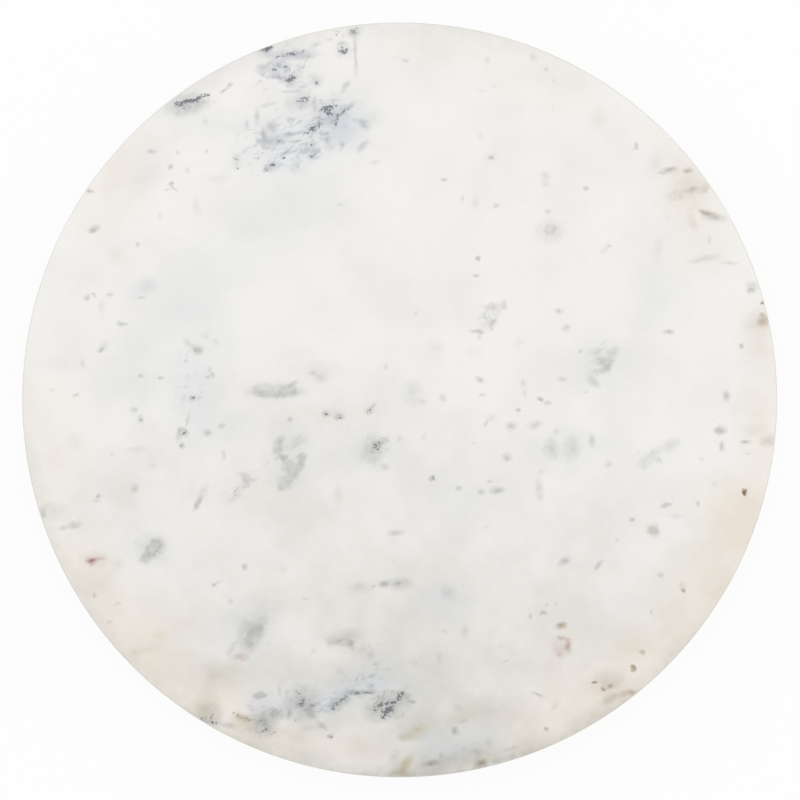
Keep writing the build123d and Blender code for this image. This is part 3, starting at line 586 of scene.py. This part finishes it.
@dataclass(frozen=True)
class HonedMarble(Finish):
    """White dolomitic marble, honed on top and round the edge, with a corner rounded off by hand.

    Fine crystals scatter the light, so the stone looks soft and milky, with mineral flecks that have ragged
    edges, cool clouds where graphite is spread thin, and a warm iron tint that has soaked in from the rim.
    Painted shade in the colour darkens the plate towards the bottom and the rim, and on the rounded arris.
    """

    patch: Patch
    radius: float
    top: float
    body: str = "#F3F1ED"
    cloud: str = "#E9E7E3"
    # Painted shade on the rounded arris: a darker line round the edge of the face
    painted_arris_shade: str = "#D2CCC2"
    ior: float = 1.6
    # Widths of the patterns in the stone, and how far noise pushes the outlines of its marks
    crystal_mm: float = 0.75
    dot_mm: float = 1.1
    mottle_mm: float = 5.0
    cloud_mm: float = 38.0
    ragged_mm: float = 2.6
    ragged_push_mm: float = 1.3
    drift_mm: float = 22.0
    drift_push_mm: float = 9.0
    wisp_mm: float = 3.0
    wisp_stretch: float = 1.6
    wisp_turn: float = 25.0
    relief_mm: float = 0.05
    relief_shown: float = 0.25
    # A mark fades out to nothing at this many times the half-axis that the eye sees
    fade: float = 1.5
    # How much of the cloud's colour the clouds bring in, and how uneven a mineral is inside its marks
    cloudy: Ramp = Ramp(0.42, 0.68, 0.0, 0.6)
    patchy: Ramp = Ramp(0.34, 0.66, 0.55, 1.25)
    # Grains are dots of noise, which stand closer where marks are stronger
    grain_full: float = 1.5
    dot_gain: float = 3.0
    grain_drawn: Ramp = Ramp(1.75, 2.6, 0.0, 0.78)
    # Wisps are threads of stretched noise, which gather where marks are stronger
    wisp_gain: float = 0.35
    wisp_drawn: Ramp = Ramp(0.62, 0.95, 0.0, 0.62)
    # Dots and threads fade out where less than a quarter of a full mark is left
    end_gain: float = 4.0
    # The rounded corner tilts away from level, where it takes a painted shade and a duller finish; the
    # upright edge below it is left out
    tilted: Ramp = Ramp(0.98, 0.6, 0.0, 0.85)
    upper: Ramp = Ramp(0.02, 0.15)
    eased_rough: float = 0.35
    sheen: Ramp = Ramp(NOISE_LOW, NOISE_HIGH, 0.24, 0.34)
    soft: tuple[Mineral, ...] = (Mineral.STAIN, Mineral.SHADE, Mineral.OLIVE, Mineral.HAZE)
    # The largest share of the surface that a mineral colours: its marks are flat in the middle
    most: dict[Mineral, float] = field(default_factory=lambda: {
        Mineral.STAIN: 0.42,
        Mineral.SHADE: 0.85,
        Mineral.OLIVE: 0.75,
        Mineral.HAZE: 0.65,
        Mineral.SLATE: 0.46,
        Mineral.FLECK: 0.46,
        Mineral.ROSE: 0.8,
        Mineral.OCHRE: 0.95,
        Mineral.RUST: 0.8,
    })

    @property
    def pixel(self) -> float:
        """Size of one of the photograph's pixels on the plate, in metres."""
        return self.radius / PHOTO_PLATE_RADIUS

    def centre(self, mark: Mark) -> Vector:
        """Find where a mark lies on the honed face.

        Args:
            mark: The mark.

        Returns:
            Its middle, in metres.
        """
        across = (mark.x - PHOTO_CENTRE_X) * self.pixel
        up = (PHOTO_CENTRE_Y - mark.y) * self.pixel
        return Vector((across, up, self.top))

    def reaches(self, mark: Mark, push_mm: float) -> bool:
        """Tell whether a mark shows on this patch, however far the noise pushes its outline.

        Args:
            mark: The mark.
            push_mm: How far the noise pushes at most.

        Returns:
            Whether the patch needs the mark.
        """
        size = max(mark.length, mark.width) * self.fade * self.pixel + push_mm * MM
        away = (self.centre(mark) - self.patch.centre).to_2d().length
        return away < size + self.patch.reach

    def gather(self, tree: Tree, marks: list[Mark], where: Socket) -> Socket:
        """Add up marks of one mineral.

        Args:
            tree: The material's node tree.
            marks: The marks.
            where: The coordinates to draw them in.

        Returns:
            How much of that mineral shows, as a socket.
        """
        total = None
        reach = self.pixel * self.fade
        for mark in marks:
            spot = add_node(tree, "TexGradient", {"gradient_type": "SPHERICAL"}, {"Vector": where})
            thick = max(mark.length, mark.width)
            spot.texture_mapping.vector_type = "TEXTURE"
            spot.texture_mapping.translation = self.centre(mark)
            spot.texture_mapping.rotation = (0, 0, math.radians(mark.turn))
            spot.texture_mapping.scale = (mark.length * reach, mark.width * reach, 2 * thick * reach)
            shade = {0: spot.outputs["Fac"], 1: mark.depth, 2: total if total else 0.0}
            total = add_node(tree, "Math", {"operation": "MULTIPLY_ADD"}, shade).outputs[0]
        return total

    def shifted(self, tree: Tree, place: Socket, size_mm: float, push_mm: float) -> Socket:
        """Push coordinates about by noise, so that outlines drawn in them turn ragged.

        Args:
            tree: The material's node tree.
            place: The plain coordinates.
            size_mm: Width of the noise's features.
            push_mm: How far a point is pushed at most.

        Returns:
            The pushed coordinates.
        """
        stir = add_node(
            tree, "TexNoise", None, {"Vector": place, "Scale": per_metre(size_mm), "Detail": 3.0}
        ).outputs["Color"]
        push = add_node(
            tree, "VectorMath", {"operation": "SUBTRACT"}, {0: stir, 1: (0.5, 0.5, 0.5)}
        ).outputs[0]
        reach = (2 * push_mm * MM,) * 3
        return add_node(
            tree, "VectorMath", {"operation": "MULTIPLY_ADD"}, {0: push, 1: reach, 2: place}
        ).outputs[0]

    def drawn(self, tree: Tree, drive: dict, rise: Ramp, amount: Socket) -> Socket:
        """Draw dots or threads where noise and marks together are strong enough.

        Args:
            tree: The material's node tree.
            drive: The noise and the marks, as the inputs of a multiply and add.
            rise: How their sum turns into a share.
            amount: How much of the mineral the marks give.

        Returns:
            The share, from 0 to 1.
        """
        strong = add_node(tree, "Math", {"operation": "MULTIPLY_ADD"}, drive).outputs[0]
        shown = add_node(
            tree, "MapRange", {"interpolation_type": "SMOOTHSTEP"}, rise.inputs(strong)
        ).outputs[0]
        ended = add_node(
            tree, "Math", {"operation": "MULTIPLY", "use_clamp": True}, {0: amount, 1: self.end_gain}
        ).outputs[0]
        return add_node(tree, "Math", {"operation": "MULTIPLY"}, {0: shown, 1: ended}).outputs[0]

    def share_of(self, tree: Tree, mineral: Mineral, amount: Socket, noises: dict[str, Socket]) -> Socket:
        """Turn the amount of a mineral into how much of the surface it colours.

        Args:
            tree: The material's node tree.
            mineral: The mineral.
            amount: How much of it the marks give.
            noises: The noises by name, with the plain coordinates as "here".

        Returns:
            The share, from 0 to 1.
        """
        if mineral is Mineral.GRAIN:
            full = add_node(
                tree, "Math", {"operation": "MINIMUM"}, {0: amount, 1: self.grain_full}
            ).outputs[0]
            drive = {0: noises["dots"], 1: self.dot_gain, 2: full}
            return self.drawn(tree, drive, self.grain_drawn, amount)
        if mineral is Mineral.WISP:
            threads = add_node(
                tree, "TexNoise", None,
                {
                    "Vector": noises["here"], "Scale": per_metre(self.wisp_mm), "Detail": 4.0,
                    "Roughness": 0.55, "Distortion": 0.8,
                },
            )
            threads.texture_mapping.vector_type = "TEXTURE"
            threads.texture_mapping.rotation = (0, 0, math.radians(self.wisp_turn))
            threads.texture_mapping.scale = (self.wisp_stretch, 1, 1)
            drive = {0: amount, 1: self.wisp_gain, 2: threads.outputs["Fac"]}
            return self.drawn(tree, drive, self.wisp_drawn, amount)
        most = self.most[mineral]
        level = add_node(tree, "Math", {"operation": "MINIMUM"}, {0: amount, 1: most}).outputs[0]
        texture = noises["clouds"] if mineral in self.soft else noises["mottle"]
        uneven = add_node(tree, "MapRange", None, self.patchy.inputs(texture)).outputs[0]
        return add_node(
            tree, "Math", {"operation": "MULTIPLY", "use_clamp": True}, {0: level, 1: uneven}
        ).outputs[0]

    def dress(self, tree: Tree, shader: Node, place: Node) -> None:
        """Lay clouds, tints, painted shade, flecks and grains over the white body, then hone it.

        Args:
            tree: The material's node tree.
            shader: Its principled shader.
            place: Its texture coordinates.
        """
        here = place.outputs["Object"]
        noises = {"here": here}
        for name, size_mm, detail, rough in (
            ("crystals", self.crystal_mm, 2.0, 0.5),
            ("clouds", self.cloud_mm, 6.0, 0.62),
            ("dots", self.dot_mm, 1.0, 0.5),
            ("mottle", self.mottle_mm, 3.0, 0.5),
        ):
            noises[name] = add_node(
                tree, "TexNoise", None,
                {"Vector": here, "Scale": per_metre(size_mm), "Detail": detail, "Roughness": rough},
            ).outputs["Fac"]
        ragged = self.shifted(tree, here, self.ragged_mm, self.ragged_push_mm)
        drift = self.shifted(tree, here, self.drift_mm, self.drift_push_mm)

        clouded = add_node(tree, "MapRange", None, self.cloudy.inputs(noises["clouds"])).outputs[0]
        colour = add_node(
            tree, "Mix", {"data_type": "RGBA"}, {0: clouded, 6: linear(self.body), 7: linear(self.cloud)}
        ).outputs[2]
        for mineral in Mineral:
            soft = mineral in self.soft or mineral is Mineral.WISP
            push_mm = self.drift_push_mm if soft else self.ragged_push_mm
            marks = [m for c in CLUSTERS if c.mineral is mineral for m in c.marks if self.reaches(m, push_mm)]
            if marks:
                amount = self.gather(tree, marks, drift if soft else ragged)
                share = self.share_of(tree, mineral, amount, noises)
                colour = add_node(
                    tree, "Mix", {"data_type": "RGBA"}, {0: share, 6: colour, 7: linear(mineral.value)}
                ).outputs[2]

        facing = add_node(tree, "SeparateXYZ", None, {0: place.outputs["Normal"]}).outputs["Z"]
        leaning = add_node(tree, "MapRange", None, self.tilted.inputs(facing)).outputs[0]
        above = add_node(tree, "MapRange", None, self.upper.inputs(facing)).outputs[0]
        arris = add_node(tree, "Math", {"operation": "MULTIPLY"}, {0: leaning, 1: above}).outputs[0]
        # Painted shade: the arris colour goes where the corner tilts, and the same share makes the arris
        # duller
        colour = add_node(
            tree, "Mix", {"data_type": "RGBA"}, {0: arris, 6: colour, 7: linear(self.painted_arris_shade)}
        ).outputs[2]
        tree.links.new(colour, shader.inputs["Base Color"])

        satin = add_node(tree, "MapRange", None, self.sheen.inputs(noises["crystals"])).outputs[0]
        matt = add_node(
            tree, "Math", {"operation": "MULTIPLY_ADD"}, {0: arris, 1: self.eased_rough, 2: satin}
        ).outputs[0]
        tree.links.new(matt, shader.inputs["Roughness"])
        shader.inputs["IOR"].default_value = self.ior
        relief = add_node(
            tree, "Bump", None,
            {
                "Height": noises["crystals"], "Strength": self.relief_shown,
                "Distance": self.relief_mm * MM,
            },
        ).outputs[0]
        tree.links.new(relief, shader.inputs["Normal"])


@dataclass(frozen=True)
class SawnMarble(Finish):
    """The same stone as the saw left it underneath: duller and greyer, with faint arcs from the blade."""

    name: str = "white marble, sawn"
    body: str = "#DEDCD7"
    cloud: str = "#CBCAC7"
    arc: str = "#D3D0C9"
    ior: float = 1.6
    cloud_mm: float = 30.0
    # A saw leaves arcs about 2 mm apart, drawn wider here so that they show
    arc_mm: float = 9.0
    relief_mm: float = 0.05
    relief_shown: float = 0.3
    # The blade is much larger than the plate, so its middle lies well outside
    blade_centre: tuple[float, float, float] = (0.55, 0.2, 0.0)
    cloudy: Ramp = Ramp(0.45, 0.75)
    scored: Ramp = Ramp(0.5, 0.7, 0.0, 0.5)
    dull: Ramp = Ramp(NOISE_LOW, NOISE_HIGH, 0.55, 0.7)

    def dress(self, tree: Tree, shader: Node, place: Node) -> None:
        """Cloud the stone, then cross it with the blade's arcs.

        Args:
            tree: The material's node tree.
            shader: Its principled shader.
            place: Its texture coordinates.
        """
        here = place.outputs["Object"]
        clouds = add_node(
            tree, "TexNoise", None,
            {
                "Vector": here, "Scale": per_metre(self.cloud_mm), "Detail": 7.0,
                "Roughness": 0.6, "Distortion": 0.6,
            },
        ).outputs["Fac"]
        clouded = add_node(tree, "MapRange", None, self.cloudy.inputs(clouds)).outputs[0]
        colour = add_node(
            tree, "Mix", {"data_type": "RGBA"}, {0: clouded, 6: linear(self.body), 7: linear(self.cloud)}
        ).outputs[2]
        from_blade = add_node(
            tree, "VectorMath", {"operation": "DISTANCE"}, {0: here, 1: self.blade_centre}
        ).outputs["Value"]
        arcs = add_node(
            tree, "TexNoise", {"noise_dimensions": "1D"},
            {"W": from_blade, "Scale": per_metre(self.arc_mm), "Detail": 3.0},
        ).outputs["Fac"]
        crossed = add_node(tree, "MapRange", None, self.scored.inputs(arcs)).outputs[0]
        colour = add_node(
            tree, "Mix", {"data_type": "RGBA"}, {0: crossed, 6: colour, 7: linear(self.arc)}
        ).outputs[2]
        tree.links.new(colour, shader.inputs["Base Color"])
        matt = add_node(tree, "MapRange", None, self.dull.inputs(arcs)).outputs[0]
        tree.links.new(matt, shader.inputs["Roughness"])
        shader.inputs["IOR"].default_value = self.ior
        relief = add_node(
            tree, "Bump", None,
            {"Height": arcs, "Strength": self.relief_shown, "Distance": self.relief_mm * MM},
        ).outputs[0]
        tree.links.new(relief, shader.inputs["Normal"])


@dataclass(frozen=True)
class TurnedMetal(Finish):
    """Metal turned on a lathe: rings of fine feed lines that catch the light in turn."""

    colour: str = "#C6C8CA"
    # Painted shade: the darker tone follows the feed lines and draws their bands of light and shade into the
    # colour
    shade: str = "#AEB1B4"
    rough: float = 0.34
    # A fine feed is about 0.12 mm, drawn coarser here so that it shows
    feed_mm: float = 0.5
    relief_mm: float = 0.02
    relief_shown: float = 0.3
    # Handling leaves a haze, smoother in some places and duller in others
    haze_mm: float = 14.0
    smoother: float = 0.06
    duller: float = 0.08

    def dress(self, tree: Tree, shader: Node, place: Node) -> None:
        """Draw feed lines round the turntable's axis and a little handling haze over them.

        Args:
            tree: The material's node tree.
            shader: Its principled shader.
            place: Its texture coordinates.
        """
        here = place.outputs["Object"]
        flat = add_node(tree, "VectorMath", {"operation": "MULTIPLY"}, {0: here, 1: (1, 1, 0)}).outputs[0]
        reach = add_node(tree, "VectorMath", {"operation": "LENGTH"}, {0: flat}).outputs["Value"]
        lines = add_node(
            tree, "TexNoise", {"noise_dimensions": "1D"},
            {"W": reach, "Scale": per_metre(self.feed_mm), "Detail": 2.0},
        ).outputs["Fac"]
        haze = add_node(
            tree, "TexNoise", None, {"Vector": here, "Scale": per_metre(self.haze_mm), "Detail": 4.0}
        ).outputs["Fac"]
        tone = add_node(
            tree, "Mix", {"data_type": "RGBA"}, {0: lines, 6: linear(self.colour), 7: linear(self.shade)}
        ).outputs[2]
        tree.links.new(tone, shader.inputs["Base Color"])
        sheen = Ramp(NOISE_LOW, NOISE_HIGH, self.rough - self.smoother, self.rough + self.duller)
        matt = add_node(tree, "MapRange", None, sheen.inputs(haze)).outputs[0]
        tree.links.new(matt, shader.inputs["Roughness"])
        shader.inputs["Metallic"].default_value = 1.0
        relief = add_node(
            tree, "Bump", None,
            {"Height": lines, "Strength": self.relief_shown, "Distance": self.relief_mm * MM},
        ).outputs[0]
        tree.links.new(relief, shader.inputs["Normal"])


@dataclass(frozen=True)
class GrainedFinish(Finish):
    """A moulded, plated or lapped surface: a fine grain, and a second tone where it is worn or dusty."""

    colour: str
    worn: str
    rough: float
    spread: float
    grain_mm: float
    patch_mm: float
    metallic: float = 0.0
    ior: float = 1.5
    relief_mm: float = 0.01
    relief_shown: float = 0.4
    worn_share: Ramp = Ramp(0.38, 0.7)

    def dress(self, tree: Tree, shader: Node, place: Node) -> None:
        """Blend the two tones in patches and give the surface its grain.

        Args:
            tree: The material's node tree.
            shader: Its principled shader.
            place: Its texture coordinates.
        """
        here = place.outputs["Object"]
        grain = add_node(
            tree, "TexNoise", None, {"Vector": here, "Scale": per_metre(self.grain_mm), "Detail": 2.0}
        ).outputs["Fac"]
        patch = add_node(
            tree, "TexNoise", None, {"Vector": here, "Scale": per_metre(self.patch_mm), "Detail": 4.0}
        ).outputs["Fac"]
        share = add_node(tree, "MapRange", None, self.worn_share.inputs(patch)).outputs[0]
        tone = add_node(
            tree, "Mix", {"data_type": "RGBA"}, {0: share, 6: linear(self.colour), 7: linear(self.worn)}
        ).outputs[2]
        tree.links.new(tone, shader.inputs["Base Color"])
        sheen = Ramp(NOISE_LOW, NOISE_HIGH, self.rough, self.rough + self.spread)
        matt = add_node(tree, "MapRange", None, sheen.inputs(grain)).outputs[0]
        tree.links.new(matt, shader.inputs["Roughness"])
        shader.inputs["Metallic"].default_value = self.metallic
        if not self.metallic:
            shader.inputs["IOR"].default_value = self.ior
        relief = add_node(
            tree, "Bump", None,
            {"Height": grain, "Strength": self.relief_shown, "Distance": self.relief_mm * MM},
        ).outputs[0]
        tree.links.new(relief, shader.inputs["Normal"])


# Satin-anodised aluminium keeps the lathe's lines under a clear matt skin
RACE_ALUMINIUM = TurnedMetal("aluminium, turned and satin anodised")
# Bearing steel is lapped to a mirror, with faint oily smears
BALL_STEEL = GrainedFinish(
    "bearing steel, lapped", colour="#C9CBCE", worn="#B9BCC0", metallic=1.0, rough=0.05, spread=0.08,
    grain_mm=0.8, patch_mm=3.0, relief_mm=0.001,
)
# Natural nylon is milky and slightly yellow, with a soft spark-eroded mould skin
CAGE_NYLON = GrainedFinish(
    "nylon, moulded natural", colour="#E2DCC9", worn="#D6CFB9", rough=0.42, spread=0.12, ior=1.53,
    grain_mm=0.5, patch_mm=9.0,
)
# Turned brass inserts stay bright because the stone covers them
INSERT_BRASS = TurnedMetal("brass, turned", colour="#CBA552", shade="#B08B3E", rough=0.3, feed_mm=0.4)
# Zinc plating is bluish and finely crystalline, with dull patches
SCREW_STEEL = GrainedFinish(
    "steel, bright zinc plated", colour="#BCC1C6", worn="#A3A8AD", metallic=1.0, rough=0.24, spread=0.16,
    grain_mm=0.35, patch_mm=2.5, relief_mm=0.004,
)
# Black rubber is matt and charcoal rather than black, and picks up pale dust
FOOT_RUBBER = GrainedFinish(
    "rubber, moulded black", colour="#1E1E1F", worn="#2C2B2A", rough=0.62, spread=0.2, ior=1.52,
    grain_mm=0.3, patch_mm=4.0, relief_mm=0.02,
)


class Band(Enum):
    """Rings of the honed face, each with the number of patches it is laid out in, and the underside."""

    MIDDLE = 6
    BETWEEN = 12
    RIM = 18
    UNDERSIDE = 1


@dataclass
class MarblePlate:
    """The round stone plate that turns, with its honed face, rounded edge and blind holes for the inserts."""

    low: Vector
    high: Vector
    upper_arris: float = 1.2 * MM
    lower_arris: float = 0.8 * MM
    hole_radius: float = 3.55 * MM
    hole_depth: float = 10.3 * MM
    hole_count: int = 6
    hole_circle: float = 100.29 * MM
    hole_segments: int = 48
    segments: int = 720
    arris_steps: int = 6
    # Corners of more degrees than this shade as edges, and the rest as curves
    sharp_from: float = 30.0
    # Where the rings of patches meet, and a ring of points underneath, as shares of the radius
    between_from: float = 0.4
    rim_from: float = 0.75
    under_ring: float = 0.5
    # Tiny bruises along the upper arris, where the stone has lost a crystal or two
    bruise_depth: float = 0.16 * MM
    bruise_mm: float = 3.2
    # Noise below this leaves the arris whole
    bruise_from: float = 0.25

    @property
    def radius(self) -> float:
        """Radius of the plate."""
        return (self.high.x - self.low.x) / 2

    def outline(self) -> list[tuple[float, float, float, Band]]:
        """Half section of the plate, from the middle of the face to the middle of the underside.

        Returns:
            Radius, height, how far bruises reach there from 0 to 1, and the band inside the point.
        """
        points = [
            (0.0, self.high.z, 0.0, Band.MIDDLE),
            (self.between_from * self.radius, self.high.z, 0.0, Band.MIDDLE),
            (self.rim_from * self.radius, self.high.z, 0.0, Band.BETWEEN),
        ]
        for step in range(self.arris_steps + 1):
            angle = math.pi / 2 * (1 - step / self.arris_steps)
            inset = self.upper_arris * (1 - math.cos(angle))
            drop = self.upper_arris * (1 - math.sin(angle))
            hurt = math.sin(math.pi * step / self.arris_steps)
            points.append((self.radius - inset, self.high.z - drop, hurt, Band.RIM))
        points.append((self.radius, self.low.z + self.lower_arris, 0.0, Band.RIM))
        points.append((self.radius - self.lower_arris, self.low.z, 0.0, Band.RIM))
        points.append((self.under_ring * self.radius, self.low.z, 0.0, Band.UNDERSIDE))
        points.append((0.0, self.low.z, 0.0, Band.UNDERSIDE))
        return points

    def patches(self) -> list[Patch]:
        """Lay out the patches of each band, band after band.

        Returns:
            The patches, in the order of the plate's material slots.
        """
        edges = {
            Band.MIDDLE: (0.0, self.between_from),
            Band.BETWEEN: (self.between_from, self.rim_from),
            Band.RIM: (self.rim_from, 1.0),
        }
        laid = []
        for band, (start, end) in edges.items():
            inner, outer = start * self.radius, end * self.radius
            half = math.pi / band.value
            for index in range(band.value):
                along = Vector((math.cos(half * (2 * index + 1)), math.sin(half * (2 * index + 1)), 0))
                centre = along * (inner + outer) / 2
                corner = Vector((outer * math.cos(half), outer * math.sin(half)))
                corner_reach = (corner - Vector(((inner + outer) / 2, 0))).length
                reach = max(corner_reach, (outer - inner) / 2)
                laid.append(Patch(f"{band.name.lower()} {index + 1}", centre, reach))
        return laid

    def bruise(self, angle: float, height: float) -> float:
        """How far a bruise sets the arris back at one place.

        Args:
            angle: Direction from the axis, in radians.
            height: Height above the table, in metres.

        Returns:
            The set-back in metres.
        """
        scale = per_metre(self.bruise_mm)
        spot = Vector((math.cos(angle), math.sin(angle), 0)) * self.radius + Vector((0, 0, height))
        strength = max(0.0, noise.noise(spot * scale) - self.bruise_from)
        return self.bruise_depth * strength / (1 - self.bruise_from)

    def build(self) -> bpy.types.Object:
        """Revolve the half section and cut the insert holes.

        Returns:
            The plate as an object.
        """
        shell = bmesh.new()
        rings = []
        outline = self.outline()
        for radius, height, reach, _ in outline:
            if radius == 0:
                rings.append([shell.verts.new((0, 0, height))])
                continue
            ring = []
            for step in range(self.segments):
                angle = 2 * math.pi * step / self.segments
                out = radius - (reach * self.bruise(angle, height) if reach else 0.0)
                ring.append(shell.verts.new((out * math.cos(angle), out * math.sin(angle), height)))
            rings.append(ring)
        bands = list(Band)
        for inner, outer, (*_, band) in zip(rings, rings[1:], outline[1:]):
            before = sum(earlier.value for earlier in bands[:bands.index(band)])
            for step in range(self.segments):
                after = (step + 1) % self.segments
                if len(inner) == 1:
                    face = shell.faces.new((inner[0], outer[step], outer[after]))
                elif len(outer) == 1:
                    face = shell.faces.new((inner[step], outer[0], inner[after]))
                else:
                    face = shell.faces.new((inner[step], outer[step], outer[after], inner[after]))
                face.smooth = True
                face.material_index = before + step * band.value // self.segments
        mesh = bpy.data.meshes.new("marble_plate")
        shell.to_mesh(mesh)
        shell.free()
        for patch in self.patches():
            name = f"white marble, honed, {patch.name}"
            mesh.materials.append(HonedMarble(name, patch, self.radius, self.high.z).material())
        mesh.materials.append(SawnMarble().material())
        plate = mesh_object("marble_plate", mesh)
        self.drill(plate)
        return plate

    def drill(self, plate: bpy.types.Object) -> None:
        """Cut the blind holes for the inserts into the underside.

        Args:
            plate: The plate, which is changed.
        """
        cutter_shell = bmesh.new()
        for index in range(self.hole_count):
            angle = 2 * math.pi * index / self.hole_count
            made = bmesh.ops.create_cone(
                cutter_shell, cap_ends=True, segments=self.hole_segments, radius1=self.hole_radius,
                radius2=self.hole_radius, depth=2 * self.hole_depth,
            )
            spot = Vector((math.cos(angle), math.sin(angle), 0)) * self.hole_circle
            bmesh.ops.translate(cutter_shell, verts=made["verts"], vec=spot + Vector((0, 0, self.low.z)))
        cutter_mesh = bpy.data.meshes.new("insert_hole_cutters")
        cutter_shell.to_mesh(cutter_mesh)
        cutter_shell.free()
        cutter = mesh_object("insert_hole_cutters", cutter_mesh)
        cut = plate.modifiers.new("insert holes", "BOOLEAN")
        cut.object = cutter
        cut.operation = "DIFFERENCE"
        cut.solver = "EXACT"
        graph = bpy.context.evaluated_depsgraph_get()
        drilled = bpy.data.meshes.new_from_object(plate.evaluated_get(graph))
        plate.modifiers.clear()
        plate.data = drilled
        drilled.set_sharp_from_angle(angle=math.radians(self.sharp_from))
        bpy.data.objects.remove(cutter)

    def dress(self) -> None:
        """Build the plate in its finishes and set it on the turning body."""
        plate = self.build()
        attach(plate, "turntable")
        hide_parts("marble_top")
        log.info("%s: honed and sawn marble in %d patches", plate.name, len(plate.data.materials))


@dataclass
class Hardware:
    """The bearing, fixings and feet, which keep their CAD shapes and get their finishes here."""

    finishes: dict[str, Finish] = field(default_factory=lambda: {
        "turning_race_ring": RACE_ALUMINIUM,
        "fixed_race_ring": RACE_ALUMINIUM,
        "filling_plug": RACE_ALUMINIUM,
        "bearing_balls": BALL_STEEL,
        "plug_pin": SCREW_STEEL,
        "ball_cage": CAGE_NYLON,
        "threaded_inserts": INSERT_BRASS,
        "ring_screws": SCREW_STEEL,
        "foot_washers": SCREW_STEEL,
        "foot_screws": SCREW_STEEL,
    })
    foot_prefix: str = "foot_"
    foot_count: int = 6

    def dress(self) -> None:
        """Give every CAD node its finish."""
        wanted = dict(self.finishes)
        for index in range(1, self.foot_count + 1):
            wanted[f"{self.foot_prefix}{index}"] = FOOT_RUBBER
        for name, finish in wanted.items():
            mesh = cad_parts[name].data
            mesh.materials.clear()
            mesh.materials.append(finish.material())
            log.info("%s: %s", name, finish.name)


@dataclass(frozen=True)
class PaleFloor(Finish):
    """Matt white studio sheet: white to the eye, and it still takes the object's shadow."""

    name: str = "studio sheet, matt white"
    colour: str = "#F6F6F6"
    rough: float = 0.9
    glow: float = 0.9

    def dress(self, tree: Tree, shader: Node, place: Node) -> None:
        """Mix a plain white with the lit sheet for rays that are seen directly or in a reflection.

        Args:
            tree: The material's node tree.
            shader: Its principled shader.
            place: Its texture coordinates, which a plain sheet has no use for.
        """
        shader.inputs["Base Color"].default_value = linear(self.colour)
        shader.inputs["Roughness"].default_value = self.rough
        share = add_node(
            tree, "Math", {"operation": "MULTIPLY"}, {0: seen_rays(tree), 1: self.glow}
        ).outputs[0]
        white = add_node(tree, "Emission", None, {"Color": linear(WHITE), "Strength": 1.0}).outputs[0]
        both = add_node(
            tree, "MixShader", None, {0: share, 1: shader.outputs[0], 2: white}
        ).outputs[0]
        tree.links.new(both, tree.nodes["Material Output"].inputs["Surface"])


@dataclass
class Studio:
    """Floor, a soft lamp on each side, even fill and a camera straight above the plate."""

    plate_radius: float
    plate_edge: float
    floor_half: float = 6.0
    floor_cells: int = 4
    lamp_places: tuple[Vector, ...] = (Vector((-3.8, 1.8, 3.0)), Vector((3.8, 1.8, 3.0)))
    lamp_side: float = 4.0
    lamp_power: float = 31.0
    fill: float = 0.875
    lens_mm: float = 85.0
    sensor_mm: float = 36.0

    def floor(self) -> None:
        """Lay the pale floor under the feet."""
        sheet = bmesh.new()
        bmesh.ops.create_grid(
            sheet, x_segments=self.floor_cells, y_segments=self.floor_cells, size=self.floor_half
        )
        mesh = bpy.data.meshes.new("studio_floor")
        sheet.to_mesh(mesh)
        sheet.free()
        mesh.materials.append(PaleFloor().material())
        mesh_object("studio_floor", mesh)

    def lights(self) -> None:
        """Hang the two large soft lamps, aimed at the plate, and fill the room evenly."""
        lamp = bpy.data.lights.new("softbox", "AREA")
        lamp.shape = "SQUARE"
        lamp.size = self.lamp_side
        lamp.energy = self.lamp_power
        for place in self.lamp_places:
            softbox = bpy.data.objects.new("softbox", lamp)
            softbox.location = place
            softbox.rotation_euler = place.to_track_quat("Z", "Y").to_euler()
            bpy.context.scene.collection.objects.link(softbox)

        world = bpy.data.worlds.new("white room")
        world.use_nodes = True
        bpy.context.scene.world = world
        tree = world.node_tree
        brighter = Ramp(0.0, 1.0, self.fill, 1.0)
        level = add_node(tree, "MapRange", None, brighter.inputs(seen_rays(tree))).outputs[0]
        tree.nodes["Background"].inputs["Color"].default_value = linear(WHITE)
        tree.links.new(level, tree.nodes["Background"].inputs["Strength"])

    def camera(self) -> None:
        """Look straight down from the height at which the plate fills the photograph's frame."""
        lens = bpy.data.cameras.new("camera")
        lens.lens = self.lens_mm
        lens.sensor_width = self.sensor_mm
        eye = bpy.data.objects.new("camera", lens)
        pixel = self.plate_radius / PHOTO_PLATE_RADIUS
        half_frame = pixel * PHOTO_SIDE / 2
        distance = half_frame * self.lens_mm / (self.sensor_mm / 2)
        middle = PHOTO_SIDE / 2
        eye.location = (
            (middle - PHOTO_CENTRE_X) * pixel,
            (PHOTO_CENTRE_Y - middle) * pixel,
            self.plate_edge + distance,
        )
        bpy.context.scene.collection.objects.link(eye)
        bpy.context.scene.camera = eye

    def build(self) -> None:
        """Set up floor, lights and camera."""
        self.floor()
        self.lights()
        self.camera()
        bpy.context.scene.view_settings.view_transform = "Standard"
        log.info("studio ready")


def main() -> None:
    """Dress the turntable and set up the studio."""
    logging.basicConfig(level=logging.INFO, format="%(name)s: %(message)s")
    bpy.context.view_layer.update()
    low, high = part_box("marble_top")
    plate = MarblePlate(low, high)
    plate.dress()
    Hardware().dress()
    Studio(plate.radius, high.z - plate.upper_arris).build()


if __name__ == "__main__":
    main()
